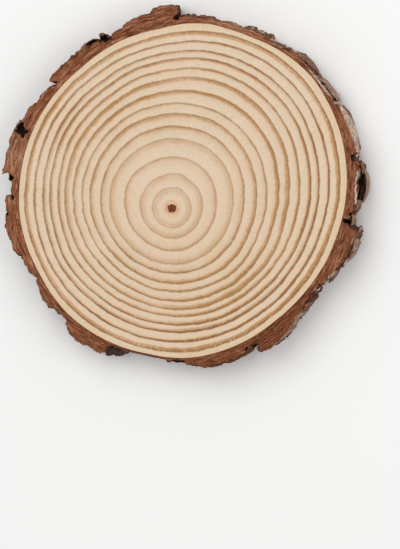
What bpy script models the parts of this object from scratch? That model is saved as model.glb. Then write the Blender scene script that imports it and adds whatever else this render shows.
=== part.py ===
"""A wood slice: one round sawn from a young softwood log, with its ring of scaly bark.

It lies on its sawn underside with the growth rings level. The origin is the middle of the
underside's bounding box, +Z is up through the rings, and angles run anticlockwise from +X
round the pith, which sits off centre because the log grew faster on one side.
"""

import math

import bmesh
import bpy
from mathutils import Vector, noise

MM = 0.001

# The slice
THICKNESS = 15 * MM
PITH = Vector((-3.97, -9.2, 0)) * MM
SEAM = 0.3 * MM  # clearance between the wood and the bark round it

# The wood's edge: its mean distance from the pith, then the slow waves in that distance,
# each as crests round the edge, share of the mean, and the angle of one crest in degrees
WOOD_RADIUS = 69.2 * MM
EDGE_WAVES = ((1, 0.121, 61), (2, 0.034, 44), (3, 0.010, 42))
WOOD_SIDES = 180

# The bark plates in order round the sawn face. Each is an outline of points, as an angle
# in degrees and the bark's thickness there in millimetres. An angle that steps back
# makes an edge that overhangs its notch.
BARK_PLATES = {
    "right_scale": (
        (-3.3, 0.9), (-3.0, 3.0), (-1.6, 3.8), (0, 4.8), (3, 5.3), (6, 4.7), (9, 4.6),
        (12, 5.2), (13.3, 6.0), (14.3, 5.9), (14.7, 2.7), (16.4, 2.3),
    ),
    "shoulder": ((16.8, 4.7), (18, 5.0), (22, 4.2), (27, 3.4), (31.6, 3.4)),
    "shoulder_tail": ((32.2, 2.3), (36, 2.3), (39, 1.6), (42.8, 1.4)),
    "knuckle": ((43.4, 1.7), (47.5, 2.1), (50.5, 3.0), (53, 2.0), (59.8, 1.5)),
    "upper_right": ((60.5, 2.6), (64, 3.1), (68, 2.4), (76.8, 1.9)),
    "thin_lip": ((77.5, 2.5), (81.5, 2.9), (82.5, 2.4), (83.5, 3.2), (88.4, 3.0)),
    "top_flake": (
        (89.3, 2.3), (89.2, 4.1), (88.2, 4.9), (88.1, 7.5), (90, 8.7), (92.8, 9.2),
        (95.4, 8.8), (96.1, 7.2), (101.5, 6.7), (104.8, 5.5), (105.4, 4.4), (109.5, 4.3),
    ),
    "crumb": ((110, 2.5), (111, 3.3), (111.5, 6.2), (112.1, 7.0), (112.8, 6.3), (113.2, 2.9)),
    "upper_left": (
        (113.8, 4.9), (115.4, 6.6), (118.8, 6.7), (122, 6.1), (127, 5.7), (131.6, 6.2),
        (132.7, 5.0), (134.2, 4.8), (133.3, 3.2), (132.9, 2.1), (134.2, 1.8),
    ),
    "left_step": ((135.2, 3.3), (139, 4.3), (142.7, 3.9)),
    "left_plate": (
        (143.1, 5.2), (145, 5.8), (150.2, 6.1), (151.6, 7.3), (154.2, 7.5), (156, 8.2),
        (158.3, 7.0), (160.5, 7.5), (163, 7.1), (168.9, 7.8), (168.1, 6.3), (167.4, 5.1),
    ),
    "left_crumb": ((168.6, 4.7), (170.2, 4.5), (170.7, 3.3), (175.2, 2.9)),
    "left_foot": (
        (175.6, 5.4), (181.8, 5.4), (183.2, 6.2), (186, 6.6), (190, 6.2), (194.6, 5.7),
        (197.2, 4.2), (196.7, 2.9),
    ),
    "lower_left_scale": ((197.9, 3.6), (204.6, 3.4), (205.8, 2.2), (207.1, 1.6)),
    "low_scale": ((207.8, 2.9), (211, 3.1), (214, 4.3), (218.8, 3.9), (219.9, 2.5)),
    "low_chip": ((221.4, 2.8), (225.7, 2.2)),
    "bottom_left": (
        (226.8, 4.3), (229, 5.1), (230.4, 6.2), (234, 6.4), (238, 5.6), (243.2, 6.2),
        (244.3, 4.5), (244.2, 2.4),
    ),
    "bare_wood": ((246, 0.9), (256, 0.8), (267.4, 0.9), (268.2, 2.0), (269.6, 1.9), (270.4, 1.0)),
    "bottom_right": (
        (274.6, 1.1), (275.6, 2.6), (277.6, 3.5), (280, 3.8), (281.5, 5.0), (289, 4.8),
        (293.5, 5.2), (297.5, 4.3), (299.9, 4.1), (300.6, 2.9), (302.6, 2.8),
    ),
    "lower_right": (
        (303.4, 3.6), (302.9, 4.8), (301.8, 5.4), (301.9, 6.4), (302.6, 7.3), (305.2, 7.9),
        (310, 7.4), (315, 6.3), (320, 4.8), (325.5, 3.7), (328.1, 3.3), (328.5, 0.9),
    ),
    "split_scale": ((329.3, 1.1), (329.7, 2.9), (331.6, 3.2), (333.2, 2.6)),
    "right_step": ((334.3, 4.0), (338.5, 4.7), (340.8, 5.6)),
    "right_plate": (
        (341.7, 6.2), (344, 6.9), (348, 7.3), (351.6, 7.9), (353.5, 7.7), (354, 5.0),
        (355.4, 3.1), (355.8, 0.9),
    ),
}
COLUMN_STEP = 1.3 * MM  # longest side of a facet along the bark

# How the plates change from the sawn face that shows (row 1) down to the underside (row 0)
BARK_ROWS = (0, 0.17, 0.34, 0.5, 0.66, 0.83, 1)
PLATE_SWING = (3, 1.6, 90)  # waves round the slice, degrees of turn, angle of a crest
PLATE_TAPER = 0.2  # share of its thickness that a plate loses on its way down, on average
THINNEST = 0.7 * MM

# The scales on the bark's outside: their size across and along the log, how far one stands
# above the next, the depth and width of the fissures between them, and how far under the
# sawn face the relief is at its full height
SCALE_ACROSS = 11 * MM
SCALE_ALONG = 17 * MM
SCALE_STEP = 1.3 * MM
SCALE_LIFT = 0.6  # share of half a step by which the scales stand out of the plate
FISSURE_DEPTH = 0.9 * MM
FISSURE_SHARE = 0.16
RELIEF_START = 3 * MM

# A loose scale that stands off below the sawn face, and the slope of the broken end
# beside the bare stretch: angles in degrees, thickness in millimetres, top as a row
LOOSE_SCALE = (3.6, 12.4, 7.2, 0.55)
BROKEN_END = (243.5, 251.5, 5.6, 0.8)


def edge_radius(degrees):
    """Distance from the pith to the wood's edge."""
    waves = (share * math.cos(math.radians(count * (degrees - crest)))
             for count, share, crest in EDGE_WAVES)
    return WOOD_RADIUS * (1 + sum(waves))


def round_pith(degrees, radius, height):
    """The point at an angle and a distance from the pith."""
    angle = math.radians(degrees)
    return PITH + Vector((radius * math.cos(angle), radius * math.sin(angle), height))


def sawn_outline():
    """The bark's outline at the sawn face, as (degrees, thickness), in steps of COLUMN_STEP."""
    corners = [(degrees, thick * MM) for plate in BARK_PLATES.values() for degrees, thick in plate]
    outline = []
    for place, start in enumerate(corners):
        end = corners[(place + 1) % len(corners)]
        if place == len(corners) - 1:
            end = (end[0] + 360, end[1])
        run = math.radians(end[0] - start[0]) * edge_radius(start[0])
        pieces = max(1, math.ceil(math.hypot(run, end[1] - start[1]) / COLUMN_STEP))
        for piece in range(pieces):
            share = piece / pieces
            outline.append(tuple(a + (b - a) * share for a, b in zip(start, end)))
    return outline


def slow_wave(degrees, level):
    """A smooth value from -1 to 1 that varies round the slice and down through it."""
    angle = math.radians(degrees)
    return noise.noise(Vector((4 * math.cos(angle), 4 * math.sin(angle), 1.6 * level)))


def scale_relief(degrees, level):
    """How far the bark's scales and fissures move its outside, outwards being positive."""
    place = round_pith(degrees, edge_radius(degrees), level * THICKNESS) - PITH
    place = Vector((place.x / SCALE_ACROSS, place.y / SCALE_ACROSS, place.z / SCALE_ALONG))
    place += 0.25 * noise.noise_vector(place * 2)
    distances, centres = noise.voronoi(place)
    step = SCALE_STEP / 2 * (noise.cell(centres[0] * 7) + SCALE_LIFT)
    fissure = max(0, 1 - (distances[1] - distances[0]) / FISSURE_SHARE)
    fade = min(1, (1 - level) * THICKNESS / RELIEF_START)
    return fade * (step - FISSURE_DEPTH * fissure)


def hump(value, start, end):
    """1 over most of a range and 0 at its ends."""
    if not start < value < end:
        return 0
    return math.sin(math.pi * (value - start) / (end - start)) ** 0.35


def bark_point(degrees, thick, level):
    """A point on the bark's outside, level 1 being the sawn face and level 0 the underside."""
    depth = 1 - level
    count, swing, crest = PLATE_SWING
    turned = degrees + swing * depth * math.cos(math.radians(count * (degrees - crest)))
    thick *= 1 - PLATE_TAPER * depth * (1 + 2 * slow_wave(degrees, level))
    start, end, scale_thick, top = LOOSE_SCALE
    if level < top:
        thick = max(thick, scale_thick * MM * hump(degrees, start, end))
    start, end, end_thick, top = BROKEN_END
    if level < top and start < degrees < end:
        slope = (end - degrees) / (end - start) * (top - level) / top
        thick = max(thick, end_thick * MM * slope ** 0.5)
    thick = max(thick + scale_relief(turned, level), THINNEST)
    return round_pith(turned, edge_radius(turned) + SEAM + thick, level * THICKNESS)


def wall(bm, lower, upper):
    """Joins two loops of the same count with faces."""
    for a, b, c, d in zip(lower, lower[1:] + lower[:1], upper[1:] + upper[:1], upper):
        bm.faces.new((a, b, c, d))


def finish(name, bm, colour, roughness):
    """Puts a mesh in the scene as a named object with its material."""
    bmesh.ops.recalc_face_normals(bm, faces=bm.faces)
    mesh = bpy.data.meshes.new(name)
    bm.to_mesh(mesh)
    bm.free()
    mesh.shade_smooth()
    mesh.set_sharp_from_angle(angle=math.radians(40))
    material = bpy.data.materials.new(name)
    material.use_nodes = True
    shader = material.node_tree.nodes["Principled BSDF"]
    shader.inputs["Base Color"].default_value = (*colour, 1)
    shader.inputs["Roughness"].default_value = roughness
    shader.inputs["Metallic"].default_value = 0
    mesh.materials.append(material)
    piece = bpy.data.objects.new(name, mesh)
    bpy.context.scene.collection.objects.link(piece)
    return piece


def wood_loop(bm, clearance, height):
    """Vertices along the wood's edge, a clearance outside it."""
    step = 360 / WOOD_SIDES
    return [bm.verts.new(round_pith(side * step, edge_radius(side * step) + clearance, height))
            for side in range(WOOD_SIDES)]


def make_wood():
    """The disc of wood, flat on both sawn faces."""
    bm = bmesh.new()
    lower = wood_loop(bm, 0, 0)
    upper = wood_loop(bm, 0, THICKNESS)
    wall(bm, lower, upper)
    bm.faces.new(lower)
    bm.faces.new(upper)
    return finish("wood", bm, colour=(0.73, 0.57, 0.40), roughness=0.7)


def make_bark():
    """The closed ring of bark: plates, notches and overhanging edges round the wood."""
    bm = bmesh.new()
    outline = sawn_outline()
    rows = [[bm.verts.new(bark_point(degrees, thick, level)) for degrees, thick in outline]
            for level in BARK_ROWS]
    for lower, upper in zip(rows, rows[1:]):
        wall(bm, lower, upper)
    inner_rows = [wood_loop(bm, SEAM, height) for height in (0, THICKNESS)]
    wall(bm, *inner_rows)
    for inner, outer in zip(inner_rows, (rows[0], rows[-1])):
        sides = [bm.edges.get(pair) for loop in (inner, outer)
                 for pair in zip(loop, loop[1:] + loop[:1])]
        bmesh.ops.triangle_fill(bm, edges=sides, use_beauty=True, normal=(0, 0, 1))
    bmesh.ops.triangulate(bm, faces=[face for face in bm.faces if len(face.verts) > 3])
    return finish("bark", bm, colour=(0.24, 0.11, 0.06), roughness=0.9)


def main():
    """Clears the scene and builds the slice."""
    for leftover in list(bpy.data.objects):
        bpy.data.objects.remove(leftover, do_unlink=True)
    make_wood()
    make_bark()


main()
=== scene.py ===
"""A wood slice lying on its sawn underside: a disc of softwood in its ring of scaly bark.

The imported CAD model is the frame. The disc and the bark ring replace its two plain solids
with the same form in finer detail, and thin flakes of bark are added round the outside.
Angles run anticlockwise from +X round the pith. Level 1 is the sawn face that shows and
level 0 is the underside.
"""

import bisect
import logging
import math
import random
from collections.abc import Callable
from dataclasses import dataclass, field
from enum import Enum

import bpy
from mathutils import Matrix, Vector, noise


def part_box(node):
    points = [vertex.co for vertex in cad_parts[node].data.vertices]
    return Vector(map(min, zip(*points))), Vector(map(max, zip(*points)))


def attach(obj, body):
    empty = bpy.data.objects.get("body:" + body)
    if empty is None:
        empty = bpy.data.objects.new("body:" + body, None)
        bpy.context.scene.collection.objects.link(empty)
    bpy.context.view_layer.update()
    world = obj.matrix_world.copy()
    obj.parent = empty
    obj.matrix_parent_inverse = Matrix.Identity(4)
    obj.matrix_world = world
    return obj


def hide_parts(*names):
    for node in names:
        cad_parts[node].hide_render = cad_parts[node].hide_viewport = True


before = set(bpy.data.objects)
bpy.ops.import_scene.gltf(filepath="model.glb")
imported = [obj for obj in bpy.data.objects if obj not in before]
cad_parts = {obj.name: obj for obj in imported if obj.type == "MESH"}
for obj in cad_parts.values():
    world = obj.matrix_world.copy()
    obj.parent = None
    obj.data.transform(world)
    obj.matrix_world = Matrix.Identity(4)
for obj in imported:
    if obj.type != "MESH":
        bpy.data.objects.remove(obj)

MM = 0.001
LOG = logging.getLogger("wood_slice")

Socket = bpy.types.NodeSocket
Colour = tuple[float, float, float]
Table = tuple[tuple[float, float], ...]
Shades = tuple[tuple[float, Colour], ...]


def paint(red: int, green: int, blue: int) -> Colour:
    """A colour as seen on a screen, 0 to 255, turned into the linear values of a shader.

    Args:
        red: The red of the colour.
        green: The green of the colour.
        blue: The blue of the colour.

    Returns:
        The linear red, green and blue, 0 to 1.
    """
    shares = (red / 255, green / 255, blue / 255)
    return tuple(c / 12.92 if c <= 0.04045 else ((c + 0.055) / 1.055) ** 2.4 for c in shares)


def smooth_step(value: float, start: float, end: float) -> float:
    """Rises smoothly from 0 at start to 1 at end.

    Args:
        value: The value to place.
        start: Where the rise begins.
        end: Where the rise is done.

    Returns:
        The height of the rise at the value.
    """
    share = min(1.0, max(0.0, (value - start) / (end - start)))
    return share * share * (3 - 2 * share)


def along_table(value: float, table: Table) -> float:
    """Reads a table of (value, result) pairs by straight lines between them.

    Args:
        value: Where to read.
        table: The pairs, their values rising.

    Returns:
        The result there, or that of the nearest end.
    """
    if value <= table[0][0]:
        return table[0][1]
    for (low, first), (high, last) in zip(table, table[1:]):
        if value <= high:
            return first + (last - first) * (value - low) / (high - low)
    return table[-1][1]


@dataclass(frozen=True)
class LogForm:
    """The log's own form, with the same values as the CAD."""

    thickness: float = 15 * MM
    pith: tuple[float, float] = (-3.97 * MM, -9.2 * MM)
    seam: float = 0.3 * MM
    edge_mean: float = 69.2 * MM
    edge_waves: tuple[tuple[int, float, float], ...] = ((1, 0.121, 61), (2, 0.034, 44), (3, 0.010, 42))
    edge_trims: Table = (
        (0, -0.2), (20, -0.3), (35, -0.1), (42, 0.3), (52, -0.2), (64, -1.0), (72, -0.6), (78, 0.3),
        (86, 0.3),
        (94, -0.5), (108, 0.1), (124, -0.5), (138, -0.1), (161, -0.1), (170, -0.2), (184, 0.0), (206, -0.5),
        (225, 0.2), (241, -0.2), (260, -0.7), (274, 0.1), (281, 0.2), (296, 0.0), (315, -0.5), (341, -0.1),
        (350, -0.3), (360, -0.2))

    def edge_radius(self, degrees: float) -> float:
        """Distance from the pith to the wood's edge.

        Args:
            degrees: The angle round the pith.

        Returns:
            The distance in metres.
        """
        waves = (share * math.cos(math.radians(count * (degrees - crest)))
                 for count, share, crest in self.edge_waves)
        return self.edge_mean * (1 + sum(waves)) + along_table(degrees % 360, self.edge_trims) * MM

    def place(self, degrees: float, radius: float, height: float) -> Vector:
        """The point at an angle and a distance from the pith.

        Args:
            degrees: The angle round the pith.
            radius: The distance from the pith.
            height: The height over the underside.

        Returns:
            The point in the part's frame.
        """
        angle = math.radians(degrees)
        return Vector((self.pith[0] + radius * math.cos(angle),
                       self.pith[1] + radius * math.sin(angle), height))


@dataclass(frozen=True)
class RingGrowth:
    """How the growth rings lie: their mean radii and the slow change of their outline.

    Each stage is a mean radius in millimetres and then, for one, two and three waves round
    the ring, the wave's share of the radius and the angle of one crest. The last stage is
    the wood's edge. Each kink is an angle and its half-width, a mean radius and its
    half-width, and how far the rings there are moved out, lengths in millimetres.
    """

    radii: tuple[float, ...] = (0, 8.1, 12.9, 19.3, 26.0, 30.4, 35.2, 39.0, 43.5, 47.7, 51.2,
                                55.2, 58.3, 62.3, 66.3, 69.2)
    stages: tuple[tuple[float, ...], ...] = (
        (0, 0.0, 100, 0.0, 45, 0.0, 46),
        (8, 0.02, 100, 0.0, 45, 0.0, 46),
        (16, 0.10, 102, 0.005, 45, 0.015, 46),
        (30, 0.126, 84, 0.006, 45, 0.014, 46),
        (44, 0.134, 69, 0.017, 45, 0.015, 46),
        (52, 0.143, 66, 0.024, 45, 0.012, 46),
        (69.2, 0.121, 61, 0.034, 44, 0.010, 42),
    )
    kinks: tuple[tuple[float, ...], ...] = (
        (205, 14, 55, 8, 0.60), (172, 16, 56, 8, -0.50), (260, 12, 53, 9, -0.35),
        (68, 18, 50, 7, 0.60), (0, 17, 48, 5, -0.95), (115, 15, 40, 11, 0.45),
        (320, 20, 38, 7, 0.70), (25, 30, 37, 5, -0.45), (98, 10, 65, 4, -0.50),
        (217, 11, 65, 4, 0.40), (320, 9, 66, 3, -0.40), (150, 20, 19, 5, 0.55),
        (10, 22, 19, 5, -0.5), (82, 18, 13, 3, 0.6), (72, 18, 8, 2, 0.3), (120, 8, 56, 20, -0.40),
        (195, 7, 51, 12, -0.35), (14, 10, 50, 8, -0.50), (68, 30, 47.7, 2.0, 0.55),
        (62, 28, 39, 2.2, -0.50),
        (330, 14, 47.7, 2.5, 0.45), (5, 14, 29.5, 3.5, -0.55), (170, 24, 30.4, 2.0, -0.40),
        (280, 7, 66, 3, 0.50), (180, 9, 66.3, 2, 0.28), (201, 8, 66.3, 2, -0.30), (50, 10, 66, 3, 0.25),
        (28, 16, 61, 3.5, -0.40), (210, 8, 64, 3, -0.30), (125, 12, 35.2, 2, 0.35),
    )
    ripples: Table = ((3.2, 0.25), (10.0, 0.22))

    def age_at(self, mean: float) -> float:
        """The number of rings out from the pith at a mean radius.

        Args:
            mean: The mean radius in millimetres.

        Returns:
            The age, a whole number on each ring's dark line.
        """
        ring = min(max(bisect.bisect_right(self.radii, mean), 1), len(self.radii) - 1)
        inner, outer = self.radii[ring - 1], self.radii[ring]
        return ring - 1 + (mean - inner) / (outer - inner)

    def radius(self, mean: float, degrees: float) -> float:
        """The distance from the pith of the line that has a given mean radius.

        Args:
            mean: The mean radius in millimetres.
            degrees: The angle round the pith.

        Returns:
            The distance in millimetres.
        """
        place = 1
        while place < len(self.stages) - 1 and mean > self.stages[place][0]:
            place += 1
        low, high = self.stages[place - 1], self.stages[place]
        share = min(1.0, (mean - low[0]) / (high[0] - low[0]))
        total = 1.0
        for count in (1, 2, 3):
            for stage, weight in ((low, 1 - share), (high, share)):
                size, crest = stage[2 * count - 1], stage[2 * count]
                total += weight * size * math.cos(math.radians(count * (degrees - crest)))
        angle = math.radians(degrees)
        wander = 0.0
        for middle, wide, ring, near, rise in self.kinks:
            turn = ((degrees - middle + 180) % 360 - 180) / wide
            wander += rise * math.exp(-turn * turn - ((mean - ring) / near) ** 2)
        for (waves, size), grown in zip(self.ripples, (1.0, min(1.0, mean / 35))):
            here = Vector((waves * math.cos(angle), waves * math.sin(angle), mean / 11))
            wander += size * grown * noise.noise(here)
        wander *= min(1.0, mean / 8) * smooth_step(self.radii[-1] - mean, 0.0, 3.0)
        return mean * total + wander

    def spacing(self, mean: float, degrees: float) -> float:
        """The width of the growth rings round a spot.

        Args:
            mean: The mean radius there in millimetres.
            degrees: The angle round the pith.

        Returns:
            The distance from one ring's line to the next in millimetres.
        """
        middles = tuple(((inner + outer) / 2, outer - inner)
                        for inner, outer in zip(self.radii, self.radii[1:]))
        stretch = self.radius(mean + 0.5, degrees) - self.radius(max(0.0, mean - 0.5), degrees)
        return along_table(mean, middles) * max(0.4, stretch)


class ShaderSheet:
    """Adds and joins the nodes of one material."""

    def __init__(self, name: str) -> None:
        """Starts a material with only its surface shader.

        Args:
            name: The material's name.
        """
        self.material = bpy.data.materials.new(name)
        self.material.use_nodes = True
        self.tree = self.material.node_tree
        self.shader = self.tree.nodes["Principled BSDF"]

    def node(self, kind: str, inputs: dict[int | str, object], **settings: object) -> bpy.types.Node:
        """Adds a node, sets it and feeds its inputs.

        Args:
            kind: The node's type.
            inputs: What goes into each socket: another socket or a plain value.
            settings: The node's own properties.

        Returns:
            The node.
        """
        made = self.tree.nodes.new(kind)
        for key, value in settings.items():
            setattr(made, key, value)
        for key, value in inputs.items():
            if isinstance(value, Socket):
                self.tree.links.new(value, made.inputs[key])
            else:
                made.inputs[key].default_value = value
        return made

    def math(self, operation: str, *values: Socket | float) -> Socket:
        """A sum on plain numbers.

        Args:
            operation: Blender's name for the sum.
            values: What goes in.

        Returns:
            The result's socket.
        """
        return self.node("ShaderNodeMath", dict(enumerate(values)), operation=operation).outputs[0]

    def scaled(self, value: Socket, factor: Socket | float, added: Socket | float) -> Socket:
        """The value times a factor, plus what is added."""
        return self.math("MULTIPLY_ADD", value, factor, added)

    def product(self, first: Socket, *others: Socket | float) -> Socket:
        """The product of two or more numbers.

        Args:
            first: The first number.
            others: The rest of them.

        Returns:
            The product's socket.
        """
        found = first
        for other in others:
            found = self.math("MULTIPLY", found, other)
        return found

    def vector(self, operation: str, *values: Socket | Colour) -> Socket:
        """A sum on vectors.

        Args:
            operation: Blender's name for the sum.
            values: What goes in.

        Returns:
            The socket of the result, a vector.
        """
        made = self.node("ShaderNodeVectorMath", dict(enumerate(values)), operation=operation)
        return made.outputs["Value" if operation in ("LENGTH", "DOT_PRODUCT") else "Vector"]

    def combine(self, x: Socket | float, y: Socket | float, z: Socket | float) -> Socket:
        """A vector of three numbers.

        Args:
            x: The first number.
            y: The second number.
            z: The third number.

        Returns:
            The vector's socket.
        """
        return self.node("ShaderNodeCombineXYZ", {0: x, 1: y, 2: z}).outputs[0]

    def separate(self, vector: Socket) -> tuple[Socket, Socket, Socket]:
        """The three numbers of a vector.

        Args:
            vector: The vector's socket.

        Returns:
            The sockets of its numbers.
        """
        return tuple(self.node("ShaderNodeSeparateXYZ", {0: vector}).outputs)

    def attribute(self, name: str) -> Socket:
        """A vector kept on the piece's own vertices."""
        return self.node("ShaderNodeAttribute", {}, attribute_name=name).outputs["Vector"]

    def grain(self, vector: Socket, scale: float, detail: float = 3, rough: float = 0.5) -> Socket:
        """Soft noise about 0.5.

        Args:
            vector: Where the noise is read.
            scale: How many waves there are to a unit of the vector.
            detail: How many finer layers there are.
            rough: How strong the finer layers are.

        Returns:
            The socket of the noise.
        """
        inputs = {"Vector": vector, "Scale": scale, "Detail": detail, "Roughness": rough}
        return self.node("ShaderNodeTexNoise", inputs).outputs[0]

    def ramp(self, value: Socket, stops: tuple[tuple[float, object], ...]) -> Socket:
        """Turns a number into a colour or a grey by stops along it.

        Args:
            value: The number, 0 to 1.
            stops: Each stop's position and its colour or its grey.

        Returns:
            The colour's socket.
        """
        made = self.node("ShaderNodeValToRGB", {0: value})
        elements = made.color_ramp.elements
        while len(elements) < len(stops):
            elements.new(0.5)
        for element, (position, shade) in zip(elements, stops):
            element.position = position
            element.color = (*shade, 1) if isinstance(shade, tuple) else (shade, shade, shade, 1)
        return made.outputs[0]

    def mix(self, share: Socket | float, first: Socket | Colour, second: Socket | Colour,
            blend: str = "MIX") -> Socket:
        """Blends two colours.

        Args:
            share: How much of the second is in the blend.
            first: The colour underneath.
            second: The colour on top.
            blend: Blender's name for the way they blend.

        Returns:
            The blend's socket.
        """
        made = self.node("ShaderNodeMix", {0: share}, data_type="RGBA", blend_type=blend)
        for key, value in ((6, first), (7, second)):
            if isinstance(value, Socket):
                self.tree.links.new(value, made.inputs[key])
            else:
                made.inputs[key].default_value = (*value, 1)
        return made.outputs[2]

    def place(self, origin: tuple[float, float]) -> Socket:
        """Millimetres from a point of the underside.

        Args:
            origin: The point's x and y in metres.

        Returns:
            The vector's socket.
        """
        here = self.node("ShaderNodeTexCoord", {}).outputs["Object"]
        offset = self.vector("SUBTRACT", here, (*origin, 0))
        return self.vector("MULTIPLY", offset, (1 / MM, 1 / MM, 1 / MM))

    def surface(self, colour: Socket, roughness: Socket, height: Socket, depth: float,
                specular: float) -> bpy.types.Material:
        """Feeds the surface shader.

        Args:
            colour: The base colour.
            roughness: The roughness.
            height: The height of the fine relief, 0 to 1.
            depth: The depth of the fine relief in metres.
            specular: How strongly the surface shines, 0.5 being usual.

        Returns:
            The finished material.
        """
        bump = self.node("ShaderNodeBump", {"Height": height, "Distance": depth})
        self.tree.links.new(colour, self.shader.inputs["Base Color"])
        self.tree.links.new(roughness, self.shader.inputs["Roughness"])
        self.tree.links.new(bump.outputs[0], self.shader.inputs["Normal"])
        self.shader.inputs["Specular IOR Level"].default_value = specular
        return self.material


class RoundSheet(ShaderSheet):
    """A sheet for a material that follows the growth rings round the pith."""

    def __init__(self, name: str, pith: tuple[float, float], rings: int) -> None:
        """Finds the bearing and distance from the pith, and the age kept on the mesh.

        The past is the distance out from the last ring's line, and ahead that on to the
        next, in millimetres.

        Args:
            name: The material's name.
            pith: The pith's place in metres.
            rings: The number of growth rings out to the edge.
        """
        super().__init__(name)
        self.rings = rings
        self.spot = self.place(pith)
        flat = self.vector("MULTIPLY", self.spot, (1, 1, 0))
        self.reach = self.vector("LENGTH", flat)
        self.heading = self.vector("NORMALIZE", flat)
        age, self.core, self.width = self.separate(self.attribute("growth"))
        wobble = self.scaled(self.grain(self.spot, 0.34, 4, 0.6), 0.8, -0.56)
        self.age = self.math("ADD", age, self.math("DIVIDE", wobble, self.width))
        self.years = self.math("DIVIDE", self.age, float(rings))
        self.past = self.product(self.math("FRACT", self.age), self.width)
        self.ahead = self.math("SUBTRACT", self.width, self.past)

    def ring_noise(self, turns: float, out: float, detail: float = 2) -> Socket:
        """Noise drawn out along or across the rings.

        Args:
            turns: How many waves there are to a radian round the pith.
            out: How many waves there are to a millimetre outwards.
            detail: How many finer layers there are.

        Returns:
            The noise's socket.
        """
        turned = self.vector("SCALE", self.heading)
        turned.node.inputs["Scale"].default_value = turns
        lift = self.combine(0.0, 0.0, self.product(self.reach, out))
        return self.grain(self.vector("ADD", turned, lift), 1, detail)

    def toward(self, degrees: float) -> Socket:
        """1 on the bearing given, falling evenly to -1 opposite it.

        Args:
            degrees: The bearing from the pith.

        Returns:
            The value's socket.
        """
        angle = math.radians(degrees)
        return self.vector("DOT_PRODUCT", self.heading, (math.cos(angle), math.sin(angle), 0))

    def by_ring(self, *values: float | Colour) -> Socket:
        """A value or colour for each ring's line, changing evenly from one to the next.

        Args:
            values: One for each line, from the pith out.

        Returns:
            The socket of the value.
        """
        stops = tuple(((ring + 1) / self.rings, value) for ring, value in enumerate(values))
        return self.ramp(self.years, stops)


@dataclass(frozen=True)
class LatewoodLine:
    """How one growth ring's line looks, each number a share of full darkness.

    The line itself is narrow. Inside it lies a paler band, its width in millimetres, and
    inside that a long soft fade. Both are stronger toward 50 degrees where lean is above 0.
    """

    colour: Colour
    width: float
    band: float
    fade: float
    lean: float = 0.0


@dataclass(frozen=True)
class RingDrift:
    """The sockets of what makes the latewood vary over the slice."""

    speck: Socket
    swell: Socket
    outer: Socket
    low: Socket


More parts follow.
